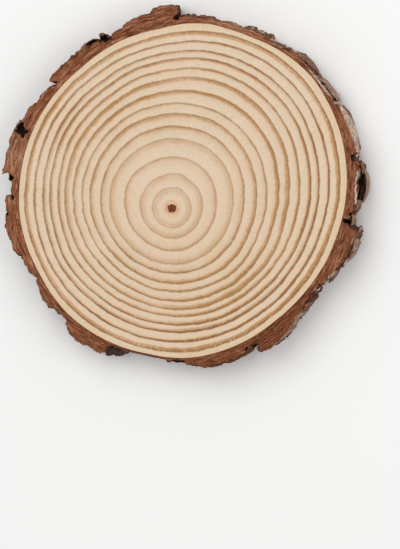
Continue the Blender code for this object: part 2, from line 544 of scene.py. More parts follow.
@dataclass(frozen=True)
class EndGrainFinish:
    """Sanded softwood end grain: cream earlywood, ochre latewood lines and a brown pith.

    The sides are bearings from the pith. A line and its band are widest along the broad
    axis and on the broad side, and darkest on the dark side. The profiles give a line, a
    band and its fade their strength with the distance from the ring's line, and the faint
    rings lie inside the first one.
    """

    pith: tuple[float, float]
    early: Colour = paint(229, 206, 180)
    sapwood: Colour = paint(227, 202, 171)
    ochre: Colour = paint(191, 144, 94)
    pith_edge: Colour = paint(206, 142, 92)
    pith_crumb: Colour = paint(243, 218, 184)
    pith_browns: Shades = ((0.40, paint(74, 33, 9)), (0.62, paint(132, 74, 32)))
    broad_axis: float = 135
    broad_side: float = 310
    dark_side: float = 300
    lean_side: float = 50
    line_outward: Table = ((0.0, 1.0), (0.14, 0.95), (0.30, 0.50), (0.42, 0.12), (0.58, 0.0))
    line_inward: Table = ((0.0, 1.0), (0.16, 0.90), (0.31, 0.50), (0.45, 0.15), (0.62, 0.0))
    band_inward: Table = ((0.0, 1.0), (0.36, 0.95), (0.46, 0.60), (0.56, 0.18), (0.68, 0.0))
    fade_inward: Table = ((0.0, 1.0), (0.2, 0.92), (0.34, 0.62), (0.55, 0.2), (0.85, 0.0))
    faint_rings: Table = (
        (0.024, 0.0), (0.028, 0.34), (0.033, 0.0), (0.050, 0.0), (0.0545, 0.5), (0.058, 0.0),
        (0.108, 0.0), (0.1145, 0.42), (0.119, 0.0))
    lines: tuple[LatewoodLine, ...] = (
        LatewoodLine(paint(202, 170, 136), 1.4, 0.08, 0.18),
        LatewoodLine(paint(198, 163, 126), 1.6, 0.13, 0.20),
        LatewoodLine(paint(190, 153, 116), 1.2, 0.22, 0.14),
        LatewoodLine(paint(194, 158, 119), 1.8, 0.17, 0.26),
        LatewoodLine(paint(172, 128, 82), 1.1, 0.27, 0.13, 0.3),
        LatewoodLine(paint(172, 126, 74), 1.4, 0.48, 0.18, 0.2),
        LatewoodLine(paint(174, 135, 91), 0.8, 0.12, 0.03, 0.6),
        LatewoodLine(paint(166, 121, 71), 1.6, 0.50, 0.18, 0.6),
        LatewoodLine(paint(170, 126, 75), 1.35, 0.60, 0.05, 0.2),
        LatewoodLine(paint(168, 122, 72), 0.8, 0.34, 0.05, -0.2),
        LatewoodLine(paint(154, 106, 56), 1.15, 0.56, 0.03, 0.35),
        LatewoodLine(paint(150, 104, 55), 1.1, 0.34, 0.03, -0.5),
        LatewoodLine(paint(147, 100, 52), 0.75, 0.44, 0.02),
        LatewoodLine(paint(154, 108, 57), 1.9, 0.88, 0.02),
    )

    def build(self) -> bpy.types.Material:
        """Makes the material.

        Returns:
            The material, which reads the attribute growth.
        """
        sheet = RoundSheet("sanded_end_grain", self.pith, len(self.lines) + 1)
        drift = self.drift(sheet)
        line = self.line(sheet, drift)
        early = sheet.ramp(sheet.years, ((0, self.early), (0.95, self.early), (0.97, self.sapwood)))
        colour = sheet.mix(self.band(sheet, drift), early, self.ochre)
        colour = sheet.mix(line, colour, sheet.by_ring(*(line.colour for line in self.lines)))
        colour = self.rays(sheet, colour)
        fine = sheet.grain(sheet.spot, 1.7, 4, 0.75)
        colour = self.cloud(sheet, colour, fine)
        colour = self.flecks(sheet, colour)
        colour = self.heart(sheet, colour)
        rough = sheet.scaled(fine, 0.16, 0.56)
        height = sheet.math("ADD", sheet.product(line, 0.35), sheet.product(fine, 0.5))
        return sheet.surface(colour, rough, height, 0.06 * MM, 0.35)

    def drift(self, sheet: RoundSheet) -> RingDrift:
        """Finds how the latewood varies over the slice.

        Args:
            sheet: The material's sheet.

        Returns:
            Its specks, its slow swell along the rings, and where it is broad.
        """
        across = sheet.math("POWER", sheet.math("ABSOLUTE", sheet.toward(self.broad_axis)), 2.0)
        return RingDrift(
            speck=sheet.grain(sheet.spot, 1.1, 4, 0.7),
            swell=sheet.ring_noise(2.6, 0.05),
            outer=sheet.product(across, sheet.ramp(sheet.years, ((0.2, 0.2), (0.6, 1.0)))),
            low=sheet.math("MAXIMUM", sheet.toward(self.broad_side), 0.0))

    def line(self, sheet: RoundSheet, drift: RingDrift) -> Socket:
        """The dark of each ring's line.

        Args:
            sheet: The material's sheet.
            drift: How the latewood varies.

        Returns:
            The socket of the line's strength.
        """
        beads = sheet.ring_noise(16, 0.25, 3)
        wide = sheet.scaled(drift.swell, 1.1, sheet.scaled(beads, 0.5, 0.17))
        wide = sheet.scaled(drift.outer, 0.22, sheet.scaled(drift.low, 0.10, wide))
        sides = [sheet.ramp(sheet.math("DIVIDE", sheet.product(reach, 0.8), wide), profile)
                 for reach, profile in ((sheet.past, self.line_outward), (sheet.ahead, self.line_inward))]
        strength = sheet.scaled(sheet.toward(self.dark_side), 0.11, 0.04)
        for source, size in ((drift.speck, 0.55), (drift.swell, 0.75), (beads, 0.5)):
            strength = sheet.scaled(source, size, strength)
        inside = sheet.ramp(sheet.years, ((0.04, 0.0), (0.045, 1.0), (0.96, 1.0), (0.975, 0.0)))
        line = sheet.product(sheet.math("MAXIMUM", *sides), strength, inside)
        faint = sheet.product(sheet.ramp(sheet.years, self.faint_rings), strength)
        return sheet.math("MINIMUM", sheet.math("MAXIMUM", line, faint), 1.0)

    def band(self, sheet: RoundSheet, drift: RingDrift) -> Socket:
        """The dark of the paler band and of the long fade inside each ring's line.

        Args:
            sheet: The material's sheet.
            drift: How the latewood varies.

        Returns:
            The socket of the band's strength.
        """
        lean = sheet.product(sheet.by_ring(*(0.5 + line.lean / 2 for line in self.lines)), 2.0)
        lean = sheet.scaled(sheet.math("SUBTRACT", lean, 1.0), sheet.toward(self.lean_side), 1.0)
        length = sheet.scaled(sheet.ring_noise(3.4, 0.06), 1.5, 0.25)
        length = sheet.product(length, sheet.by_ring(*(line.width / 2.5 for line in self.lines)), 5.0)
        near = sheet.ramp(sheet.math("DIVIDE", sheet.ahead, length), self.band_inward)
        near = sheet.product(near, sheet.by_ring(*(line.band for line in self.lines)))
        near = sheet.product(near, sheet.scaled(drift.outer, 0.35, 0.95), sheet.scaled(drift.low, 0.18, 1.0))
        far = sheet.ramp(sheet.math("DIVIDE", sheet.ahead, 6.0), self.fade_inward)
        far = sheet.product(far, sheet.by_ring(*(line.fade for line in self.lines)))
        stroke = sheet.ring_noise(55, 0.35, 3)
        patchy = sheet.scaled(drift.speck, 1.2, sheet.scaled(stroke, 0.8, -0.55))
        patchy = sheet.scaled(drift.swell, 1.1, patchy)
        inside = sheet.ramp(sheet.years, ((0.04, 0.0), (0.045, 1.0), (0.932, 1.0), (0.936, 0.0)))
        band = sheet.product(sheet.math("ADD", near, far), patchy, lean, inside)
        return sheet.math("MINIMUM", sheet.math("MAXIMUM", band, 0.0), 1.0)

    def rays(self, sheet: RoundSheet, colour: Socket) -> Socket:
        """Lays pale rays over the lines, and breaks up the last line low down.

        Args:
            sheet: The material's sheet.
            colour: The wood's colour.

        Returns:
            The colour with its rays.
        """
        lines = sheet.ramp(sheet.ring_noise(150, 0.35, 3), ((0.55, 0.0), (0.70, 1.0)))
        gate = sheet.ramp(sheet.ring_noise(5, 0.10), ((0.46, 0.0), (0.62, 0.45)))
        colour = sheet.mix(sheet.product(lines, gate), colour, self.early)
        last = sheet.ramp(sheet.years, ((0.915, 0.0), (0.925, 1.0), (0.942, 1.0), (0.952, 0.0)))
        low = sheet.ramp(sheet.toward(self.dark_side), ((0.2, 0.0), (0.7, 1.0)))
        broken = sheet.ramp(sheet.ring_noise(60, 0.5, 4), ((0.47, 0.0), (0.68, 0.38)))
        return sheet.mix(sheet.product(broken, last, low), colour, self.early)

    def cloud(self, sheet: RoundSheet, colour: Socket, fine: Socket) -> Socket:
        """Lays the slow drift of hue, the grain of the cells and the faint rays over the wood.

        Args:
            sheet: The material's sheet.
            colour: The wood's colour.
            fine: The noise of the cells.

        Returns:
            The colour with its drift.
        """
        plain = (1.0, 1.0, 1.0)
        veils = (
            (0.8, sheet.grain(sheet.spot, 0.045, 3, 0.6),
             ((0.32, (1.0, 0.955, 0.92)), (0.5, plain), (0.68, (0.965, 0.985, 0.93)))),
            (1.0, sheet.grain(sheet.spot, 0.27, 4, 0.7),
             ((0.38, (1.02, 0.97, 0.95)), (0.5, plain), (0.62, (0.975, 1.0, 0.955)))),
            (1.0, sheet.toward(self.dark_side),
             ((0.0, plain), (1.0, (1.0, 0.985, 0.965)))),
            (1.0, sheet.math("FRACT", sheet.age),
             ((0.0, plain), (0.14, plain), (0.22, (1.0, 1.015, 1.03)), (0.55, plain),
              (0.8, (1.0, 0.985, 0.975)), (1.0, plain))),
            (1.0, fine,
             ((0.34, (0.915, 0.90, 0.88)), (0.5, plain), (0.68, (1.05, 1.045, 1.035)))),
            (0.9, sheet.ring_noise(90, 0.3, 3),
             ((0.35, (0.96, 0.948, 0.93)), (0.6, (1.012, 1.012, 1.012)))),
        )
        for share, source, shades in veils:
            colour = sheet.mix(share, colour, sheet.ramp(source, shades), "MULTIPLY")
        return colour

    def flecks(self, sheet: RoundSheet, colour: Socket) -> Socket:
        """Scatters small brown specks over the wood.

        Args:
            sheet: The material's sheet.
            colour: The wood's colour.

        Returns:
            The colour with its specks.
        """
        for scale, size, first, strength, brown in ((0.13, 0.05, 0.6, 0.55, paint(150, 112, 82)),
                                                    (0.42, 0.13, 0.72, 0.30, paint(196, 150, 112))):
            cells = sheet.node("ShaderNodeTexVoronoi", {"Vector": sheet.spot, "Scale": scale})
            dot = sheet.ramp(cells.outputs["Distance"], ((0.0, 1.0), (size * 0.7, 0.8), (size, 0.0)))
            chosen = sheet.ramp(sheet.separate(cells.outputs["Color"])[0],
                                ((first, 0.0), (first + 0.02, strength)))
            colour = sheet.mix(sheet.product(dot, chosen), colour, brown)
        return colour

    def heart(self, sheet: RoundSheet, colour: Socket) -> Socket:
        """Sets the brown pith with its ragged orange rim into the wood.

        Args:
            sheet: The material's sheet.
            colour: The wood's colour.

        Returns:
            The colour with its pith.
        """
        ragged = sheet.scaled(sheet.grain(sheet.spot, 1.4, 3), 0.9, -0.45)
        core = sheet.math("ADD", sheet.core, ragged)
        crumbs = sheet.grain(sheet.spot, 1.5, 3, 0.7)
        crumbs = sheet.ramp(crumbs, ((0.47, self.pith_edge), (0.62, self.pith_crumb)))
        near = sheet.math("DIVIDE", sheet.reach, 4.0)
        near = sheet.ramp(near, ((0.62, 0.85), (0.72, 0.62), (0.82, 0.22), (0.92, 0.0)))
        colour = sheet.mix(near, colour, crumbs)
        rim = sheet.ramp(core, ((0.1, 0.0), (0.3, 0.55), (0.5, 0.9)))
        colour = sheet.mix(rim, colour, self.pith_edge)
        brown = sheet.ramp(sheet.grain(sheet.spot, 2.2, 3, 0.6), self.pith_browns)
        return sheet.mix(sheet.ramp(core, ((0.42, 0.0), (0.58, 1.0))), colour, brown)


@dataclass(frozen=True)
class BarkFinish:
    """Rough pine bark: red-brown where it is sawn, grey and brown scales outside."""

    pith: tuple[float, float]
    sawn_browns: Shades = (
        (0.33, paint(60, 28, 15)), (0.42, paint(108, 59, 34)), (0.50, paint(137, 83, 54)),
        (0.57, paint(154, 101, 71)), (0.67, paint(186, 136, 104)))
    scale_browns: Shades = (
        (0.24, paint(76, 44, 29)), (0.40, paint(103, 62, 43)), (0.54, paint(116, 77, 57)),
        (0.66, paint(132, 96, 76)), (0.80, paint(168, 140, 120)))
    skin_greys: Shades = (
        (0.34, paint(150, 120, 102)), (0.48, paint(194, 166, 148)), (0.64, paint(230, 213, 202)))
    seam: Colour = paint(66, 32, 18)
    crackle: Colour = paint(176, 138, 112)
    ledge_red: Colour = paint(118, 62, 40)
    # Painted shade for notches, hollows, the broken end and flake undersides, laid over the darker bark of
    # the fissures.
    shade_and_fissure_dark: Colour = paint(33, 21, 15)
    # The dark rim: painted shade along the sawn edge, and the real dark seam next to the wood.
    rim_dark: Colour = paint(44, 24, 16)

    def build(self) -> bpy.types.Material:
        """Makes the material.

        Returns:
            The material, which reads the attributes marks, tones and lay.
        """
        sheet = ShaderSheet("scaly_bark")
        spot = sheet.place(self.pith)
        cut, rim, shade_and_fissure = sheet.separate(sheet.attribute("marks_and_shade"))
        tone, pale, ledge = sheet.separate(sheet.attribute("tones"))
        pulp = sheet.grain(spot, 1.5, 5, 0.75)
        skin = sheet.ramp(sheet.grain(spot, 0.6, 4, 0.6), self.skin_greys)
        sawn, sawn_height = self.sawn(sheet, spot, tone, pulp)
        outside, outside_height = self.outside(sheet, spot, tone, ledge)
        outside = self.weathered(sheet, spot, outside, pale, skin)

        bleached = sheet.math("ADD", pale, sheet.scaled(pulp, 0.8, -0.4))
        sawn = sheet.mix(sheet.ramp(bleached, ((0.4, 0.0), (0.7, 0.85))), sawn, skin)
        colour = sheet.mix(cut, outside, sawn)
        # Painted shade darkens the notches, hollows, broken end and flake undersides; in the fissures the
        # dark is partly their darker bark, partly painted shade.
        colour = sheet.mix(sheet.ramp(shade_and_fissure, ((0.25, 0.0), (0.8, 0.96))), colour, self.shade_and_fissure_dark)
        # The rim darkens the outer edge of the sawn face as painted shade, and the seam by the wood as a dark
        # joint.
        edge = sheet.math("ADD", rim, sheet.scaled(pulp, 0.7, -0.35))
        colour = sheet.mix(sheet.ramp(edge, ((0.4, 0.0), (0.75, 0.85))), colour, self.rim_dark)
        rough = sheet.scaled(pulp, 0.14, 0.82)
        height = sheet.mix(cut, outside_height, sawn_height)
        return sheet.surface(colour, rough, height, 0.35 * MM, 0.22)

    def sawn(self, sheet: ShaderSheet, spot: Socket, tone: Socket, pulp: Socket) -> tuple[Socket, Socket]:
        """The sawn bark: streaks that follow the wood's edge, seams, scores and crackle.

        Args:
            sheet: The material's sheet.
            spot: The place from the pith, in millimetres.
            tone: How light the bark is.
            pulp: The noise of its pulp.

        Returns:
            The sockets of its colour and of its height.
        """
        lay = sheet.attribute("lay")
        shift = sheet.combine(0.0, 0.0, sheet.scaled(sheet.grain(spot, 0.45, 3), 2.4, -1.2))
        strip = sheet.vector("ADD", sheet.vector("MULTIPLY", lay, (10, 10, 1.75)), shift)
        lines = sheet.grain(strip, 1, 5, 0.7)
        seams = sheet.grain(sheet.vector("MULTIPLY", strip, (1.3, 1.3, 0.8)), 1, 3, 0.5)
        seams = sheet.math("ABSOLUTE", sheet.math("SUBTRACT", seams, 0.5))
        seams = sheet.ramp(seams, ((0.0, 0.9), (0.012, 0.7), (0.032, 0.0)))
        colour = sheet.mix(seams, sheet.ramp(lines, self.sawn_browns), self.seam)
        scores = sheet.vector("ADD", sheet.vector("MULTIPLY", lay, (88, 88, 0.5)), shift)
        scores = sheet.ramp(sheet.grain(scores, 1, 3, 0.6), (
            (0.36, (0.80, 0.76, 0.74)), (0.5, (1, 1, 1)), (0.62, (1.14, 1.15, 1.17))))
        colour = sheet.mix(0.35, colour, scores, "MULTIPLY")
        warm = sheet.ramp(pulp, ((0.34, (0.62, 0.58, 0.56)), (0.48, (1, 1, 1)), (0.64, (1.34, 1.36, 1.38))))
        colour = sheet.mix(0.45, colour, warm, "MULTIPLY")
        cells = sheet.node("ShaderNodeTexVoronoi", {"Vector": spot, "Scale": 1.25},
                           feature="DISTANCE_TO_EDGE")
        cracks = sheet.ramp(cells.outputs["Distance"], ((0.0, 0.75), (0.07, 0.45), (0.13, 0.0)))
        cracks = sheet.product(cracks, sheet.ramp(tone, ((0.72, 0.0), (0.95, 1.0))))
        colour = sheet.mix(cracks, colour, self.crackle)
        light = sheet.ramp(tone, (
            (0.0, (0.70, 0.56, 0.40)), (0.5, (1.04, 1.02, 1.0)), (1.0, (1.34, 1.46, 1.58))))
        return sheet.mix(1.0, colour, light, "MULTIPLY"), sheet.mix(0.4, lines, pulp)

    def outside(self, sheet: ShaderSheet, spot: Socket, tone: Socket, ledge: Socket) -> tuple[Socket, Socket]:
        """The brown scales of the outside, before they weather.

        Args:
            sheet: The material's sheet.
            spot: The place from the pith, in millimetres.
            tone: How light the scale is.
            ledge: How near the edge of a thin layer is.

        Returns:
            The sockets of its colour and of its height.
        """
        layers = sheet.grain(sheet.vector("MULTIPLY", spot, (1, 1, 0.45)), 0.35, 5, 0.6)
        body = sheet.math("ADD", sheet.product(tone, 0.44), sheet.product(layers, 0.62))
        crust = sheet.ramp(sheet.grain(spot, 1.3, 6, 0.75), (
            (0.34, (0.60, 0.56, 0.54)), (0.48, (1, 1, 1)), (0.66, (1.30, 1.29, 1.27))))
        colour = sheet.mix(0.9, sheet.ramp(body, self.scale_browns), crust, "MULTIPLY")
        threads = sheet.grain(sheet.vector("MULTIPLY", spot, (1.6, 1.6, 0.35)), 1, 4, 0.65)
        colour = sheet.mix(0.7, colour, sheet.ramp(threads, (
            (0.36, (0.74, 0.70, 0.68)), (0.5, (1, 1, 1)), (0.66, (1.16, 1.15, 1.13)))), "MULTIPLY")
        colour = sheet.mix(sheet.product(ledge, 0.35), colour, self.ledge_red)
        return colour, sheet.mix(0.5, crust, threads)

    def weathered(self, sheet: ShaderSheet, spot: Socket, colour: Socket, pale: Socket,
                  skin: Socket) -> Socket:
        """Lays the pale flaking skin and the edges of thin leaves over the outside.

        Args:
            sheet: The material's sheet.
            spot: The place from the pith, in millimetres.
            colour: The colour of the scales.
            pale: How pale the outside has weathered.
            skin: The colour of the skin.

        Returns:
            The weathered colour.
        """
        leaves = sheet.grain(sheet.vector("MULTIPLY", spot, (0.3, 0.3, 1.5)), 1, 4, 0.6)
        leaves = sheet.ramp(leaves, (
            (0.38, (0.60, 0.55, 0.52)), (0.48, (1, 1, 1)), (0.64, (1.22, 1.22, 1.20))))
        worn = sheet.math("ADD", pale, sheet.scaled(sheet.grain(spot, 0.8, 4, 0.65), 0.9, -0.45))
        flaked = sheet.product(sheet.ramp(worn, ((0.35, 0.0), (0.62, 0.9))),
                               sheet.ramp(pale, ((0.05, 0.0), (0.2, 1.0))))
        return sheet.mix(0.5, sheet.mix(flaked, colour, skin), leaves, "MULTIPLY")


@dataclass(frozen=True)
class FloorFinish:
    """A plain pale studio floor."""

    colour: Colour = paint(253, 253, 252)

    def build(self) -> bpy.types.Material:
        """Makes the material.

        Returns:
            The material, with a faint unevenness.
        """
        sheet = ShaderSheet("studio_floor")
        here = sheet.place((0, 0))
        soft = sheet.grain(here, 0.004, 2)
        colour = sheet.mix(soft, self.colour, tuple(0.97 * c for c in self.colour))
        rough = sheet.scaled(soft, 0.1, 0.8)
        return sheet.surface(colour, rough, soft, 0.01 * MM, 0.2)


def edit_new(name: str) -> bpy.types.Object:
    """Names the primitive just added and opens it in edit mode with nothing selected.

    Args:
        name: The piece's name.

    Returns:
        The piece.
    """
    piece = bpy.context.active_object
    piece.name = name
    piece.data.name = name
    bpy.ops.object.transform_apply(location=True, rotation=True, scale=True)
    bpy.ops.object.mode_set(mode="EDIT")
    bpy.ops.mesh.select_all(action="DESELECT")
    return piece


def pick_faces(piece: bpy.types.Object, wanted: Callable[[bpy.types.MeshPolygon], bool]) -> None:
    """Selects the faces that answer a question, leaving the piece in edit mode.

    Args:
        piece: The piece, in edit mode.
        wanted: The question, asked of each face.
    """
    bpy.ops.mesh.select_all(action="DESELECT")
    bpy.ops.object.mode_set(mode="OBJECT")
    for face in piece.data.polygons:
        face.select = wanted(face)
    bpy.ops.object.mode_set(mode="EDIT")
    bpy.ops.mesh.select_mode(type="FACE")


def keep_vectors(mesh: bpy.types.Mesh, name: str, values: list[tuple[float, float, float]]) -> None:
    """Keeps a vector for each vertex under a name.

    Args:
        mesh: The mesh.
        name: The attribute's name.
        values: A vector for each vertex, in order.
    """
    layer = mesh.attributes.new(name, "FLOAT_VECTOR", "POINT")
    layer.data.foreach_set("vector", [number for vector in values for number in vector])


def settle(piece: bpy.types.Object, material: bpy.types.Material, sharp: float) -> None:
    """Gives a finished mesh its material and shading and says what it stands for.

    Args:
        piece: The piece.
        material: Its material.
        sharp: The angle in degrees above which an edge stays sharp.
    """
    piece.data.materials.clear()
    piece.data.materials.append(material)
    bpy.ops.object.select_all(action="DESELECT")
    piece.select_set(True)
    bpy.context.view_layer.objects.active = piece
    bpy.ops.object.shade_smooth_by_angle(angle=math.radians(sharp))
    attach(piece, "root")
    LOG.info("%s: %d faces", piece.name, len(piece.data.polygons))


@dataclass
class WoodDisc:
    """The disc of wood, its rows of faces following the growth rings."""

    form: LogForm
    growth: RingGrowth = field(default_factory=RingGrowth)
    sides: int = 360
    row_step: float = 1.1
    pith_rows: tuple[float, ...] = (4.4, 3.6, 3.0, 2.6, 2.3, 2.05, 1.85, 1.65, 1.45, 1.2, 0.9, 0.5, 0.2)
    pith_radius: float = 1.75
    pith_dip: float = 0.35 * MM
    early_dip: float = 0.03 * MM

    def rows(self) -> list[float]:
        """The mean radii of the rows in millimetres, from the edge in to the pith.

        Returns:
            The radii, with a row on each ring's line.
        """
        found: list[float] = []
        for inner, outer in zip(self.growth.radii, self.growth.radii[1:]):
            start = max(inner, self.pith_rows[0] + 0.8)
            pieces = max(1, round((outer - start) / self.row_step))
            found += [start + (outer - start) * piece / pieces for piece in range(1, pieces + 1)]
            if inner == 0:
                found.append(start)
        return sorted(found, reverse=True) + list(self.pith_rows)

    def build(self) -> bpy.types.Object:
        """Models the disc from a cylinder, by insetting both faces row after row.

        Returns:
            The finished piece.
        """
        form, rows = self.form, self.rows()
        bpy.ops.object.select_all(action="DESELECT")
        bpy.ops.mesh.primitive_cylinder_add(
            vertices=self.sides, radius=rows[0] * MM, depth=form.thickness, end_fill_type="NGON",
            location=(*form.pith, form.thickness / 2))
        piece = edit_new("wood_disc")
        for upward in (1, -1):
            pick_faces(piece, lambda face: face.normal.z * upward > 0.9)
            for outer, inner in zip(rows, rows[1:]):
                bpy.ops.mesh.inset(thickness=(outer - inner) * MM, depth=0)
            bpy.ops.mesh.poke()
        bpy.ops.object.mode_set(mode="OBJECT")
        self.grow(piece.data, rows)
        return piece

    def grow(self, mesh: bpy.types.Mesh, rows: list[float]) -> None:
        """Moves the round rows onto the growth rings and keeps the age of each vertex.

        Args:
            mesh: The disc's mesh.
            rows: The mean radii of its rows, in millimetres.
        """
        form = self.form
        kept = []
        levels = sorted(rows + [0.0])
        for vertex in mesh.vertices:
            x, y = vertex.co.x - form.pith[0], vertex.co.y - form.pith[1]
            flat = math.hypot(x, y) / MM
            spot = bisect.bisect_left(levels, flat - 0.05)
            mean = levels[min(spot, len(levels) - 1)]
            degrees = math.degrees(math.atan2(y, x))
            top = vertex.co.z > form.thickness / 2
            if mean == rows[0]:
                radius = form.edge_radius(degrees) + form.seam / 2
            else:
                radius = self.growth.radius(mean, degrees) * MM
            age = self.growth.age_at(mean)
            star = 1 + 0.055 * math.cos(math.radians(5 * (degrees - 20))) + 0.2 * noise.noise(
                Vector((1.6 * math.cos(math.radians(degrees)), 1.6 * math.sin(math.radians(degrees)), 7.0)))
            core = 0.5 + (self.pith_radius * star - mean) / 1.0
            core = min(1.0, max(0.0, core)) if mean < 4 else 0.0
            dip = self.pith_dip * smooth_step(core, 0.3, 1.0)
            dip += self.early_dip * (0.5 - 0.5 * math.cos(2 * math.pi * age)) * (mean > 4)
            height = form.thickness - dip if top else dip
            vertex.co = form.place(degrees, radius, height)
            width = self.growth.spacing(mean, degrees) if mean > 0 else self.growth.radii[1]
            kept.append((age, core, width))
        keep_vectors(mesh, "growth", kept)

    def dress(self, piece: bpy.types.Object) -> None:
        """Gives the disc its finish.

        Args:
            piece: The disc.
        """
        settle(piece, EndGrainFinish(self.form.pith).build(), 40)
        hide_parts("wood")


@dataclass(frozen=True)
class Pit:
    """A hollow in the sawn bark, where a scale has parted or a piece has dropped out.

    Sizes are in millimetres, but for the angle round the pith.
    """

    degrees: float
    thick: float
    half_along: float
    half_across: float
    depth: float
    lean: float = 0.0

    def reach(self, degrees: float, thick: float, radius: float) -> float:
        """How far into the hollow a spot of the sawn bark lies.

        Args:
            degrees: The spot's angle round the pith.
            thick: The spot's distance from the wood, in millimetres.
            radius: The spot's distance from the pith, in millimetres.

        Returns:
            1 at the middle, 0 at the rim and less outside it.
        """
        turn = (degrees - self.degrees + 180) % 360 - 180
        along = math.radians(turn) * radius
        across = thick - self.thick
        slope = math.radians(self.lean)
        first = along * math.cos(slope) + across * math.sin(slope)
        second = across * math.cos(slope) - along * math.sin(slope)
        return 1 - math.hypot(first / self.half_along, second / self.half_across)


@dataclass(frozen=True)
class BarkSpot:
    """What the bark is like at one vertex."""

    point: Vector
    marks_and_shade: tuple[float, float, float]
    tones: tuple[float, float, float]
    lay: tuple[float, float, float]


